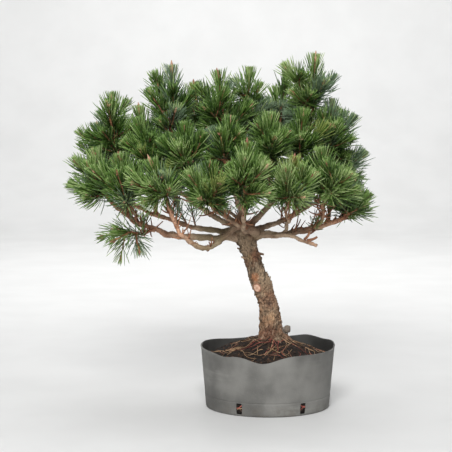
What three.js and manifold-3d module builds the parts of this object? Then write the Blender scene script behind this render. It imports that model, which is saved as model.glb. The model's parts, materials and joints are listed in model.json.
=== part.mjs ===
// A potted mugo pine, a young bonsai still in training, in millimetres, +Z up.
// The origin is the centre of the pot's flat underside, and the front faces -Y.
// Bearings are degrees round +Z, seen from above: 0 is right, 90 is back, 180 is left, 270 is front.

import * as THREE from "three";
import { mergeVertices } from "three/addons/utils/BufferGeometryUtils.js";
import Module from "manifold-3d";

const manifold = await Module();
manifold.setup();

// Driving sizes

const gap = 0.3; // between pieces that rest on each other

const pot = {
  footRadius: 93,
  rimRadius: 100,
  height: 90,
  wall: 2,
  floor: 3,
  oval: 0.015, // how far the soft wall is pushed out of round at the rim
  sides: 40,
  // The cut rim of the soft wall dips and rises: bearing, half width in degrees, height
  waves: [
    { at: 264, width: 16, rise: -10.5 },
    { at: 228, width: 12, rise: -4 },
    { at: 118, width: 18, rise: -2 },
    { at: 48, width: 16, rise: 6 },
    { at: 12, width: 20, rise: 5.5 },
    { at: 160, width: 22, rise: 3 },
  ],
  holes: { count: 6, first: 242, width: 10, bottom: 3, top: 19 },
};

const soil = {
  edgeHeight: 76,
  crownHeight: 100, // the flat crown that the trunk stands on
  crownRadius: 30,
  sides: 24,
  clods: 1.6, // height of the lumps
};

const trunk = {
  // height, how far right and back the axis is, and radius, from the flat foot to the domed head
  rings: [
    { z: soil.crownHeight + gap, x: 8, y: 0, radius: 25 },
    { z: 107, x: 7, y: 0, radius: 20.5 },
    { z: 118, x: 5.5, y: 0, radius: 17.2 },
    { z: 136, x: 3.5, y: 0, radius: 15 },
    { z: 156, x: 1, y: -1, radius: 13.8 },
    { z: 174, x: -6, y: -2, radius: 15 },
    { z: 188, x: -11, y: -2, radius: 16 },
    { z: 202, x: -17, y: -1, radius: 13.6 },
    { z: 219, x: -21, y: 0, radius: 12.4 },
    { z: 240, x: -28, y: 0, radius: 12.8 },
    { z: 254, x: -33, y: 0, radius: 16.5 },
    { z: 266, x: -35, y: 0, radius: 17 },
    { z: 276, x: -36, y: 0, radius: 9 },
  ],
  sides: 12,
  roots: { count: 5, depth: 0.16, fade: 16 }, // the flare's buttresses, gone a little way up
  // round burrs: centre and radius
  burrs: [
    { x: 26, y: -6, z: 116, radius: 6.5 },
    { x: -40, y: -4, z: 235, radius: 4 },
    { x: -15, y: -15, z: 181, radius: 5.5 },
    { x: -19, y: 3, z: 226, radius: 3.5 },
  ],
};

const shoot = {
  length: 54, // from its lowest needles to the tip of its bud
  leader: 0.72, // the most of its mass's height that a leader takes up
  lowest: 0.08, // shares of it where the lowest and the highest needles leave it
  leafy: 0.5,
  coreRadius: 3,
  needle: 34,
  whorls: 3,
  perWhorl: 4,
  widest: 66, // degrees between a needle and the shoot, in the lowest whorl
  closest: 22, // and in the highest
  twig: 20, // mean length of the twig it grows on
  slant: 75, // greatest angle between twig and stem, past 25 degrees
  lift: 0.35, // how far the shoot turns up, off the line of its twig
  apart: 27, // least distance between the tips of two shoots
  darts: 80,
};

const limbSides = 5;

// Each limb leaves its parent's axis at share `at` of the parent's length. It goes `reach` sideways
// and `rise` up, and bends by way of a point at share `bend` of the way that lies `sag` lower.
// `girth` is its radius at root and tip. Its foliage has a leader that ends `out` sideways and `rise`
// up from the limb's tip, and up to `shoots` shoots within `spread` of it.
const limbs = {
  left: {
    from: "trunk", at: 0.9, bearing: 191, reach: 203, rise: 54, bend: 0.68, sag: 56, girth: [6, 3.4],
    foliage: { bearing: 180, out: 25, rise: 72, spread: 50, shoots: 5 },
  },
  left_up: {
    from: "left", at: 0.84, bearing: 115, reach: 40, rise: 76, bend: 0.4, sag: 0, girth: [3.2, 2.5],
    foliage: { bearing: 134, out: 8, rise: 100, spread: 46, shoots: 5 },
  },
  left_front: {
    from: "left", at: 0.76, bearing: 262, reach: 40, rise: 26, bend: 0.6, sag: 8, girth: [3, 2.4],
    foliage: { bearing: 230, out: 20, rise: 70, spread: 48, shoots: 5 },
  },
  left_low: {
    from: "left", at: 0.6, bearing: 240, reach: 32, rise: -4, bend: 0.5, sag: 4, girth: [2.6, 2.1],
    foliage: { bearing: 200, out: 40, rise: 8, spread: 44, shoots: 4, lift: -0.5, slant: 70 },
  },
  low_left: {
    from: "trunk", at: 0.87, bearing: 220, reach: 149, rise: 62, bend: 0.86, sag: 88, girth: [5.4, 2.8],
    foliage: { bearing: 209, out: 26, rise: 56, spread: 52, shoots: 6 },
  },
  back_left: {
    from: "trunk", at: 0.92, bearing: 162, reach: 216, rise: 63, bend: 0.6, sag: 36, girth: [5, 3],
    foliage: { bearing: 168, out: 22, rise: 96, spread: 40, shoots: 6 },
  },
  back_left_up: {
    from: "back_left", at: 0.62, bearing: 113, reach: 38, rise: 90, bend: 0.4, sag: 0, girth: [3.2, 2.5],
    foliage: { bearing: 160, out: 12, rise: 70, spread: 54, shoots: 5 },
  },
  mid_left: {
    from: "trunk", at: 0.93, bearing: 196, reach: 128, rise: 80, bend: 0.5, sag: 8, girth: [5, 3],
    foliage: { bearing: 188, out: 36, rise: 86, spread: 50, shoots: 5 },
  },
  up_left: {
    from: "trunk", at: 0.95, bearing: 177, reach: 105, rise: 132, bend: 0.6, sag: 34, girth: [5, 3],
    foliage: { bearing: 231, out: 6, rise: 108, spread: 54, shoots: 6 },
  },
  up_left_front: {
    from: "up_left", at: 0.55, bearing: 254, reach: 74, rise: 32, bend: 0.5, sag: 4, girth: [3, 2.4],
    foliage: { bearing: 240, out: 12, rise: 62, spread: 50, shoots: 5 },
  },
  up_centre: {
    from: "trunk", at: 0.95, bearing: 198, reach: 26, rise: 128, bend: 0.5, sag: 10, girth: [5, 3],
    foliage: { bearing: 165, out: 16, rise: 104, spread: 50, shoots: 5 },
  },
  up_centre_front: {
    from: "up_centre", at: 0.45, bearing: 256, reach: 70, rise: 46, bend: 0.6, sag: 6, girth: [3, 2.4],
    foliage: { bearing: 310, out: 10, rise: 66, spread: 50, shoots: 5 },
  },
  top_back: {
    from: "up_centre", at: 0.75, bearing: 64, reach: 48, rise: 58, bend: 0.5, sag: 6, girth: [3, 2.4],
    foliage: { bearing: 46, out: 8, rise: 88, spread: 46, shoots: 4 },
  },
  front: {
    from: "trunk", at: 0.93, bearing: 268, reach: 108, rise: 44, bend: 0.6, sag: 22, girth: [4.6, 3],
    foliage: { bearing: 281, out: 24, rise: 88, spread: 54, shoots: 6 },
  },
  front_left: {
    from: "front", at: 0.5, bearing: 222, reach: 62, rise: 32, bend: 0.6, sag: 8, girth: [3, 2.4],
    foliage: { bearing: 264, out: 22, rise: 60, spread: 52, shoots: 5 },
  },
  right: {
    from: "trunk", at: 0.91, bearing: 354, reach: 144, rise: 24, bend: 0.6, sag: 18, girth: [6, 3.8],
    foliage: { bearing: 2, out: 20, rise: 62, spread: 42, shoots: 6 },
  },
  right_in: {
    from: "right", at: 0.36, bearing: 271, reach: 82, rise: 50, bend: 0.6, sag: 10, girth: [3.2, 2.4],
    foliage: { bearing: 292, out: 22, rise: 64, spread: 52, shoots: 5 },
  },
  right_up: {
    from: "right", at: 0.72, bearing: 277, reach: 55, rise: 46, bend: 0.5, sag: 4, girth: [3.4, 2.5],
    foliage: { bearing: 242, out: 18, rise: 70, spread: 50, shoots: 5 },
  },
  right_high: {
    from: "right", at: 0.84, bearing: 78, reach: 44, rise: 60, bend: 0.5, sag: 4, girth: [3.2, 2.5],
    foliage: { bearing: 30, out: 16, rise: 66, spread: 46, shoots: 5 },
  },
  stub: {
    from: "trunk", at: 0.87, bearing: 344, reach: 109, rise: -8, bend: 0.7, sag: -22, girth: [4, 2.6],
  },
  back_right: {
    from: "trunk", at: 0.93, bearing: 34, reach: 148, rise: 48, bend: 0.6, sag: 16, girth: [4.6, 3],
    foliage: { bearing: 57, out: 48, rise: 100, spread: 56, shoots: 6 },
  },
  up_right: {
    from: "trunk", at: 0.95, bearing: 339, reach: 83, rise: 104, bend: 0.55, sag: 24, girth: [5, 3],
    foliage: { bearing: 285, out: 28, rise: 72, spread: 50, shoots: 5 },
  },
  up_right_front: {
    from: "up_right", at: 0.5, bearing: 262, reach: 51, rise: 56, bend: 0.6, sag: 8, girth: [3, 2.4],
    foliage: { bearing: 278, out: 18, rise: 72, spread: 50, shoots: 5 },
  },
  up_right_top: {
    from: "up_right", at: 0.86, bearing: 49, reach: 46, rise: 70, bend: 0.6, sag: 10, girth: [2.8, 2.3],
    foliage: { bearing: 0, out: 8, rise: 102, spread: 46, shoots: 5 },
  },
  up_right_out: {
    from: "up_right", at: 0.76, bearing: 25, reach: 70, rise: 44, bend: 0.6, sag: 10, girth: [2.8, 2.3],
    foliage: { bearing: 0, out: 6, rise: 74, spread: 40, shoots: 5 },
  },
  back: {
    from: "trunk", at: 0.93, bearing: 90, reach: 112, rise: 58, bend: 0.6, sag: 22, girth: [5, 3],
    foliage: { bearing: 75, out: 58, rise: 94, spread: 60, shoots: 6 },
  },
  back_rear: {
    from: "back", at: 0.4, bearing: 143, reach: 105, rise: 48, bend: 0.6, sag: 12, girth: [3.2, 2.5],
    foliage: { bearing: 116, out: 52, rise: 92, spread: 60, shoots: 6 },
  },
  back_high: {
    from: "back", at: 0.7, bearing: 183, reach: 64, rise: 100, bend: 0.6, sag: 20, girth: [3, 2.4],
    foliage: { bearing: 139, out: 18, rise: 86, spread: 54, shoots: 5 },
  },
  back_right_high: {
    from: "back", at: 0.82, bearing: 339, reach: 53, rise: 100, bend: 0.6, sag: 20, girth: [3, 2.4],
    foliage: { bearing: 339, out: 18, rise: 92, spread: 54, shoots: 5 },
  },
};

// Colours

const materials = {
  pot: new THREE.MeshStandardMaterial({ color: 0x6f706c, roughness: 0.55, metalness: 0 }),
  soil: new THREE.MeshStandardMaterial({ color: 0x3a281c, roughness: 0.95, metalness: 0 }),
  bark: new THREE.MeshStandardMaterial({ color: 0x7a6350, roughness: 0.9, metalness: 0 }),
  bough: new THREE.MeshStandardMaterial({ color: 0x866a4f, roughness: 0.85, metalness: 0 }),
  needles: new THREE.MeshStandardMaterial({ color: 0x3f6b33, roughness: 0.6, metalness: 0 }),
};

// Small helpers

const up = new THREE.Vector3(0, 0, 1);

function radians(degrees) {
  return (degrees * Math.PI) / 180;
}

function vector(x, y, z) {
  return new THREE.Vector3(x, y, z);
}

function level(bearing) {
  return vector(Math.cos(radians(bearing)), Math.sin(radians(bearing)), 0);
}

// A repeatable source of numbers from 0 to 1 for each seed
function seeded(seed) {
  let state = seed >>> 0;
  return () => {
    state = (state + 0x6d2b79f5) >>> 0;
    let t = Math.imul(state ^ (state >>> 15), state | 1);
    t ^= t + Math.imul(t ^ (t >>> 7), t | 61);
    return ((t ^ (t >>> 14)) >>> 0) / 4294967296;
  };
}

function solidOf(geometry) {
  const bare = new THREE.BufferGeometry();
  bare.setAttribute("position", geometry.getAttribute("position"));
  bare.setIndex(geometry.index);
  const merged = mergeVertices(bare, 1e-3);
  const mesh = new manifold.Mesh({
    numProp: 3,
    vertProperties: new Float32Array(merged.attributes.position.array),
    triVerts: new Uint32Array(merged.index.array),
  });
  return new manifold.Manifold(mesh);
}

function geometryOf(solid) {
  const { vertProperties, triVerts } = solid.getMesh();
  const geometry = new THREE.BufferGeometry();
  geometry.setAttribute("position", new THREE.BufferAttribute(vertProperties, 3));
  geometry.setIndex(new THREE.BufferAttribute(triVerts, 1));
  return geometry;
}

// Whether two parts of a surface touch along an edge, or a triangle of it has no width
function pinched(geometry) {
  const { index, attributes } = mergeVertices(geometry, 1e-3);
  const uses = new Map();
  for (let corner = 0; corner < index.count; corner++) {
    const a = index.getX(corner);
    const b = index.getX(corner % 3 === 2 ? corner - 2 : corner + 1);
    const edge = Math.min(a, b) + "-" + Math.max(a, b);
    uses.set(edge, (uses.get(edge) ?? 0) + 1);
  }
  if ([...uses.values()].some((count) => count > 2)) return true;
  const triangle = new THREE.Triangle();
  for (let first = 0; first < index.count; first += 3) {
    const corners = [0, 1, 2].map((step) => index.getX(first + step));
    triangle.setFromAttributeAndIndices(attributes.position, ...corners);
    const { a, b, c } = triangle;
    const longest = Math.max(a.distanceTo(b), b.distanceTo(c), c.distanceTo(a));
    if ((2 * triangle.getArea()) / longest < 0.004) return true;
  }
  return false;
}

// The largest body of a solid, without the scraps that a cut leaves. Detail finer than `tolerance` goes,
// and the points are rounded to the finest grid on which near ones join without pinching the surface.
function whole(solid, tolerance = 0.01) {
  let best;
  for (const coarser of [1, 1.5, 2, 3, 5]) {
    const grid = 0.01 * coarser;
    const geometry = geometryOf(solid.simplify(tolerance * coarser));
    const position = geometry.getAttribute("position");
    position.array.forEach((value, i) => (position.array[i] = Math.round(value / grid) * grid));
    const bodies = solidOf(geometry).decompose();
    best = bodies.reduce((most, body) => (body.volume() > most.volume() ? body : most));
    if (!pinched(geometryOf(best))) break;
  }
  return best;
}

function meshOf(name, solid, material) {
  const mesh = new THREE.Mesh(geometryOf(solid), material);
  mesh.name = name;
  return mesh;
}

// A closed skin over rings of points, each with the same number of corners, flat at both ends
function skin(rings) {
  const sides = rings[0].length;
  const indices = [];
  for (let ring = 0; ring + 1 < rings.length; ring++) {
    for (let side = 0; side < sides; side++) {
      const a = ring * sides + side;
      const b = ring * sides + ((side + 1) % sides);
      indices.push(a, b, b + sides, a, b + sides, a + sides);
    }
  }
  const last = (rings.length - 1) * sides;
  for (let side = 1; side + 1 < sides; side++) {
    indices.push(0, side + 1, side, last, last + side, last + side + 1);
  }
  const geometry = new THREE.BufferGeometry();
  const points = rings.flat().flatMap((point) => [point.x, point.y, point.z]);
  geometry.setAttribute("position", new THREE.Float32BufferAttribute(points, 3));
  geometry.setIndex(indices);
  return solidOf(geometry);
}

// A round bar along a curve whose radius tapers from root to tip
function taperedBar(curve, root, tip, sides, steps) {
  const rings = [];
  const across = vector(0.31, 0.95, 0.05);
  for (let step = 0; step <= steps; step++) {
    const share = step / steps;
    const heading = curve.getTangent(share);
    across.addScaledVector(heading, -across.dot(heading)).normalize();
    const over = new THREE.Vector3().crossVectors(heading, across);
    const radius = root + (tip - root) * share;
    const ring = [];
    for (let side = 0; side < sides; side++) {
      const angle = (side / sides) * 2 * Math.PI;
      const point = curve.getPoint(share).addScaledVector(across, radius * Math.cos(angle));
      ring.push(point.addScaledVector(over, radius * Math.sin(angle)));
    }
    rings.push(ring);
  }
  return skin(rings);
}

// A solid of revolution about +Z from [radius, height] pairs
function turned(profile, sides) {
  const points = profile.map(([radius, height]) => new THREE.Vector2(radius, height));
  return new THREE.LatheGeometry(points, sides).rotateX(Math.PI / 2);
}

// Moves every point of a turned shape by a function of its bearing
function reshape(geometry, move) {
  const position = geometry.getAttribute("position");
  const point = vector(0, 0, 0);
  for (let i = 0; i < position.count; i++) {
    point.fromBufferAttribute(position, i);
    move(point, Math.atan2(point.y, point.x));
    position.setXYZ(i, point.x, point.y, point.z);
  }
  return geometry;
}

// Pot and soil

// How far the cut rim is above or below its mean height, at an angle
function rimWave(angle) {
  let height = 0;
  for (const wave of pot.waves) {
    const turn = Math.atan2(Math.sin(angle - radians(wave.at)), Math.cos(angle - radians(wave.at)));
    height += wave.rise * Math.exp(-((turn / radians(wave.width)) ** 2));
  }
  return height;
}

// The soft wall's push out of round, which grows with height
function bulge(angle, height) {
  return 1 + pot.oval * (height / pot.height) * Math.cos(2 * angle + 0.9);
}

function outerRadius(height) {
  return pot.footRadius + ((pot.rimRadius - pot.footRadius) * height) / pot.height;
}

function makePot() {
  const { height, wall, floor, footRadius, rimRadius } = pot;
  const profile = [
    [0, 0],
    [footRadius, 0],
    [outerRadius(height / 2), height / 2],
    [rimRadius, height],
    [rimRadius - wall, height],
    [outerRadius(height / 2) - wall, height / 2],
    [outerRadius(floor) - wall, floor],
    [0, floor],
  ];
  const shell = reshape(turned(profile, pot.sides), (point, angle) => {
    const push = bulge(angle, point.z);
    point.x *= push;
    point.y *= push;
    point.z *= point.z > floor ? 1 + rimWave(angle) / height : 1;
  });
  let solid = solidOf(shell);
  const { count, first, width, bottom, top } = pot.holes;
  for (let hole = 0; hole < count; hole++) {
    const out = level(first + (hole * 360) / count);
    const cutter = new THREE.BoxGeometry(wall * 8, width, top - bottom);
    cutter.rotateZ(radians(first + (hole * 360) / count));
    cutter.translate(out.x * footRadius, out.y * footRadius, (bottom + top) / 2 + gap);
    solid = solid.subtract(solidOf(cutter));
  }
  return solid;
}

function makeSoil() {
  const { edgeHeight, crownHeight, crownRadius } = soil;
  const bottom = pot.floor + gap;
  const inside = (height) => outerRadius(height) - pot.wall - 3 * gap;
  const slope = (share) => [
    crownRadius + (inside(edgeHeight) - crownRadius) * share,
    crownHeight + (edgeHeight - crownHeight) * share ** 0.8,
  ];
  const profile = [
    [0, bottom],
    [inside(bottom), bottom],
    [inside(pot.height / 2), pot.height / 2],
    [inside(edgeHeight), edgeHeight],
    slope(0.8),
    slope(0.55),
    slope(0.3),
    [crownRadius, crownHeight],
    [0, crownHeight],
  ];
  const heap = reshape(turned(profile, soil.sides), (point, angle) => {
    const radius = Math.hypot(point.x, point.y);
    const push = bulge(angle, point.z);
    point.x *= push;
    point.y *= push;
    const loose = point.z > edgeHeight && radius > crownRadius + 1;
    point.z += loose ? soil.clods * Math.sin(5 * angle + radius / 9) : 0;
  });
  return solidOf(heap);
}

// Trunk

// The trunk, `extra` thicker all round
function makeTrunk(extra) {
  const { rings, sides, roots } = trunk;
  const foot = rings[0].z;
  const stack = rings.map((ring) => {
    const flare = roots.depth * Math.exp(-(ring.z - foot) / roots.fade);
    const corners = [];
    for (let side = 0; side < sides; side++) {
      const angle = (side / sides) * 2 * Math.PI;
      const ridge = 1 + flare * Math.cos(roots.count * angle) + 0.04 * Math.sin(3 * angle + ring.z / 7);
      const radius = ring.radius * ridge + extra;
      corners.push(vector(ring.x + radius * Math.cos(angle), ring.y + radius * Math.sin(angle), ring.z));
    }
    return corners;
  });
  stack[0].forEach((corner) => (corner.z -= extra));
  stack.at(-1).forEach((corner) => (corner.z += extra));
  let solid = skin(stack);
  for (const burr of trunk.burrs) {
    const ball = new THREE.OctahedronGeometry(burr.radius + extra, 1);
    solid = solid.add(solidOf(ball.translate(burr.x, burr.y, burr.z)));
  }
  return solid;
}

// A point on the trunk's axis at a share of its height
function trunkAxis(share) {
  const rings = trunk.rings;
  const height = rings[0].z + share * (rings.at(-1).z - rings[0].z);
  const above = Math.max(1, rings.findIndex((ring) => ring.z >= height - 1e-6));
  const low = rings[above - 1];
  const high = rings[above];
  const between = (height - low.z) / (high.z - low.z);
  return vector(low.x, low.y, low.z).lerp(vector(high.x, high.y, high.z), between);
}

// Limbs

const trunkSolid = whole(makeTrunk(0), 0.05);
const trunkSeat = makeTrunk(gap);
const curves = {};

function limbCurve(limb) {
  const start = limb.from === "trunk" ? trunkAxis(limb.at) : curves[limb.from].getPoint(limb.at);
  const end = start.clone().addScaledVector(level(limb.bearing), limb.reach);
  end.z += limb.rise;
  const bend = start.clone().lerp(end, limb.bend);
  bend.z -= limb.sag;
  return new THREE.QuadraticBezierCurve3(start, bend, end);
}

function limbBar(name, extra) {
  const [root, tip] = limbs[name].girth;
  const steps = Math.max(2, Math.round(curves[name].getLength() / 32));
  return taperedBar(curves[name], root + extra, tip + extra, limbSides, steps);
}

// Every limb is seated against the trunk and the limbs made before it
function makeLimbs() {
  const solids = {};
  const seats = [trunkSeat];
  for (const [name, limb] of Object.entries(limbs)) {
    curves[name] = limbCurve(limb);
    const seated = seats.reduce((solid, seat) => solid.subtract(seat), limbBar(name, 0));
    solids[name] = whole(seated);
    seats.push(limbBar(name, gap));
  }
  return solids;
}

// Foliage

// The round bars that needles keep clear of: the curve they follow, two ends and radius
const bars = [];

function addBars(curve, root, tip) {
  const count = curve.isLineCurve3 ? 1 : 8;
  for (let step = 0; step < count; step++) {
    bars.push({
      curve,
      a: curve.getPoint(step / count),
      b: curve.getPoint((step + 1) / count),
      radius: root + (tip - root) * (step / count),
    });
  }
}

// The least distance between the segments a-b and c-d
function segmentDistance(a, b, c, d) {
  const u = b.clone().sub(a);
  const v = d.clone().sub(c);
  const w = a.clone().sub(c);
  const uu = u.dot(u);
  const uv = u.dot(v);
  const vv = v.dot(v);
  const uw = u.dot(w);
  const vw = v.dot(w);
  const flat = uu * vv - uv * uv;
  let s = flat > 1e-6 ? THREE.MathUtils.clamp((uv * vw - vv * uw) / flat, 0, 1) : 0;
  const t = THREE.MathUtils.clamp((uv * s + vw) / vv, 0, 1);
  s = THREE.MathUtils.clamp((uv * t - uw) / uu, 0, 1);
  return a.clone().addScaledVector(u, s).distanceTo(c.clone().addScaledVector(v, t));
}

// The line each mass grows along: from just past its bough's tip to the top of its leader
function planMasses() {
  return Object.entries(limbs)
    .filter(([, limb]) => limb.foliage)
    .map(([name, limb], order) => {
      const { foliage, girth } = limb;
      const heading = curves[name].getTangent(1);
      const start = curves[name].getPoint(1).addScaledVector(heading, gap);
      const top = start.clone().addScaledVector(level(foliage.bearing), foliage.out);
      top.z += foliage.rise;
      const height = top.distanceTo(start);
      const axis = top.clone().sub(start).divideScalar(height);
      const foot = top.clone().addScaledVector(axis, -Math.min(shoot.length, height * shoot.leader));
      const turn = start.clone().addScaledVector(heading, foot.distanceTo(start) * 0.5);
      const stem = new THREE.QuadraticBezierCurve3(start, turn, foot);
      const { lift, slant } = shoot;
      const line = new THREE.Line3(start, top);
      return { name, order, start, top, foot, axis, line, stem, girth: girth[1] * 0.85, lift, slant, ...foliage };
    });
}

// How much nearer a point is to its own line than to any other
function spaceAround(own, lines, point) {
  const nearest = new THREE.Vector3();
  const reach = (line) => point.distanceTo(line.closestPointToPoint(point, true, nearest));
  return Math.min(...lines.filter((line) => line !== own).map(reach)) - reach(own);
}

// How far a line stays from every bar but those of its own curve
function clearance(own, from, to) {
  const others = bars.filter((bar) => bar.curve !== own);
  return Math.min(...others.map((bar) => segmentDistance(from, to, bar.a, bar.b) - bar.radius));
}

// One shoot thrown at random: a twig leaves the stem at a slant and turns up into it
function throwShoot(mass, random) {
  const side = new THREE.Vector3().crossVectors(mass.axis, vector(0, 1, 0)).normalize();
  const front = new THREE.Vector3().crossVectors(mass.axis, side);
  const from = mass.stem.getPoint(0.35 + 0.65 * random());
  const turn = 2 * Math.PI * random();
  const slant = radians(25 + mass.slant * random());
  const out = side.multiplyScalar(Math.cos(turn)).addScaledVector(front, Math.sin(turn));
  out.multiplyScalar(Math.sin(slant)).addScaledVector(mass.axis, Math.cos(slant));
  const twigLength = shoot.twig * (0.3 + random());
  const foot = from.clone().addScaledVector(out, twigLength);
  const direction = out.clone().addScaledVector(up, mass.lift).normalize();
  const tip = foot.clone().addScaledVector(direction, shoot.length * (0.6 + 0.4 * random()));
  return { tip, foot, from, direction, twig: new THREE.LineCurve3(from, foot) };
}

// The shoots of a mass: the leader, and then, each time, the one of many thrown into its space
// that is furthest from the shoots there already
function planShoots(mass, lines) {
  const random = seeded(101 + mass.order);
  const from = mass.foot.clone().addScaledVector(mass.axis, -3);
  const planned = [{ tip: mass.top, foot: mass.foot, from, direction: mass.axis, twig: mass.stem }];
  const far = mass.top.clone().addScaledVector(mass.axis, 99);
  while (planned.length < mass.shoots) {
    let best = { distance: shoot.apart };
    for (let dart = 0; dart < shoot.darts; dart++) {
      const thrown = throwShoot(mass, random);
      const { tip, foot, twig } = thrown;
      const distance = Math.min(...planned.map((other) => tip.distanceTo(other.tip)));
      if (distance < best.distance || tip.z > mass.top.z - 10) continue;
      if (segmentDistance(tip, tip.clone().setZ(tip.z + 0.01), mass.start, far) > mass.spread) continue;
      const line = [twig.getPoint(0.5), foot, tip];
      if (line.some((point) => spaceAround(mass.line, lines, point) < 2 * shoot.coreRadius)) continue;
      const bare = Math.min(clearance(mass.stem, line[0], foot), clearance(mass.stem, foot, tip));
      if (bare < shoot.coreRadius + 2) continue;
      best = { ...thrown, distance };
    }
    if (!best.tip) break;
    planned.push(best);
  }
  return planned;
}

// How much of a needle's length stays in its spray's own space and clear of every limb
function freeShare(spray, axes, root, heading, length) {
  for (const cut of [1, 0.8, 0.6, 0.4]) {
    const tip = root.clone().addScaledVector(heading, length * cut);
    const middle = root.clone().lerp(tip, 0.5);
    if (spaceAround(spray.axis, axes, tip) < 2 || spaceAround(spray.axis, axes, middle) < 4) continue;
    if (clearance(spray.twig, root, tip) < shoot.coreRadius - 1) continue;
    return cut;
  }
  return 0;
}

// A spray: a twig, and a slim core on it that ends in the bud, with whorls of needles that stand
// out, wide apart at the foot and closing towards the bud. Needles of neighbouring whorls alternate.
function spraySolid(mass, spray, axes, random) {
  const { whorls, perWhorl, widest, closest, lowest, leafy, needle, coreRadius } = shoot;
  const { from, foot, tip, direction } = spray;
  const length = tip.distanceTo(foot);
  const side = new THREE.Vector3().crossVectors(direction, vector(0.3, 1, 0)).normalize();
  const front = new THREE.Vector3().crossVectors(direction, side);
  const twist = 2 * Math.PI * random();
  const radial = (turn) => side.clone().multiplyScalar(Math.cos(turn)).addScaledVector(front, Math.sin(turn));
  const points = [];
  for (const [centre, radius] of [[from, 0.85 * mass.girth], [foot, 0.7 * mass.girth]]) {
    for (let corner = 0; corner < perWhorl; corner++) {
      const turn = twist + (corner / perWhorl) * 2 * Math.PI;
      points.push(centre.clone().addScaledVector(radial(turn), radius));
    }
  }
  const corners = 2 * perWhorl;
  for (let whorl = 0; whorl < whorls; whorl++) {
    const share = whorl / (whorls - 1);
    const root = foot.clone().addScaledVector(direction, length * (lowest + (leafy - lowest) * share));
    for (let corner = 0; corner < corners; corner++) {
      const turn = twist + ((corner + 0.4 * (random() - 0.5)) / corners) * 2 * Math.PI;
      const angle = radians(widest + (closest - widest) * share + 10 * (random() - 0.5));
      const size = needle * (0.85 + 0.3 * random());
      const heading = direction.clone().multiplyScalar(Math.cos(angle)).addScaledVector(radial(turn), Math.sin(angle));
      const free = (corner + whorl) % 2 ? 0 : freeShare(spray, axes, root, heading, size);
      const reach = free ? heading.multiplyScalar(size * free) : radial(turn).multiplyScalar(coreRadius);
      points.push(reach.add(root));
    }
  }
  points.push(tip);
  const indices = [];
  for (let corner = 0; corner < perWhorl; corner++) {
    const next = (corner + 1) % perWhorl;
    const [a, b, c, d] = [corner, next, corner + perWhorl, next + perWhorl];
    const [e, f, g] = [0, 1, 2].map((step) => corners + ((2 * corner + step) % corners));
    indices.push(a, b, d, a, d, c, c, f, e, c, d, f, d, g, f);
    if (corner > 1) indices.push(0, corner, corner - 1);
  }
  for (let corner = 0; corner < corners; corner++) {
    const next = (corner + 1) % corners;
    for (let whorl = 0; whorl < whorls; whorl++) {
      const low = corners * (whorl + 1);
      const high = low + corners;
      if (whorl + 1 === whorls) indices.push(low + corner, low + next, high);
      else if ((corner + whorl) % 2) indices.push(low + corner, low + next, high + next, low + corner, high + next, high + corner);
      else indices.push(low + corner, low + next, high + corner, low + next, high + next, high + corner);
    }
  }
  const geometry = new THREE.BufferGeometry().setFromPoints(points);
  geometry.setIndex(indices);
  return solidOf(geometry);
}

// One mass of foliage. Its needles are turned anew while any of them only touch along an edge.
function makeMass(mass, axes) {
  let solid;
  for (let attempt = 0; attempt < 6; attempt++) {
    const random = seeded(501 + mass.order + 100 * attempt);
    const pieces = mass.planned.map((spray) => spraySolid(mass, spray, axes, random));
    pieces.push(taperedBar(mass.stem, mass.girth, mass.girth * 0.8, limbSides, 2));
    solid = whole(manifold.Manifold.union(pieces), 0.4);
    if (!pinched(geometryOf(solid))) break;
  }
  return solid;
}

// The whole plant

const plant = new THREE.Group();
plant.add(meshOf("pot", makePot(), materials.pot));
plant.add(meshOf("soil", makeSoil(), materials.soil));
plant.add(meshOf("trunk", trunkSolid, materials.bark));

addBars(new THREE.CatmullRomCurve3(trunk.rings.map(({ x, y, z }) => vector(x, y, z))), 17, 17);
for (const [name, solid] of Object.entries(makeLimbs())) {
  plant.add(meshOf(`bough_${name}`, solid, materials.bough));
  addBars(curves[name], ...limbs[name].girth);
}

const masses = planMasses();
const lines = masses.map((mass) => mass.line);
for (const mass of masses) addBars(mass.stem, mass.girth, mass.girth);
for (const mass of masses) mass.planned = planShoots(mass, lines);
const sprays = masses.flatMap((mass) => mass.planned);
for (const spray of sprays) {
  spray.axis = new THREE.Line3(spray.foot, spray.tip);
  addBars(spray.twig, 2, 2);
}
const axes = sprays.map((spray) => spray.axis);
for (const mass of masses) plant.add(meshOf(`foliage_${mass.name}`, makeMass(mass, axes), materials.needles));

export default plant;
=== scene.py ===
# A potted mugo pine in training for bonsai: soft grey pot, soil, bare trunk, boughs, twigs, needles, buds.
# It grows by the rule of the solids in the frame, which is then carried to finer twigs.
import itertools
import json

import bpy
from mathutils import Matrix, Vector
import numpy as np

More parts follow.
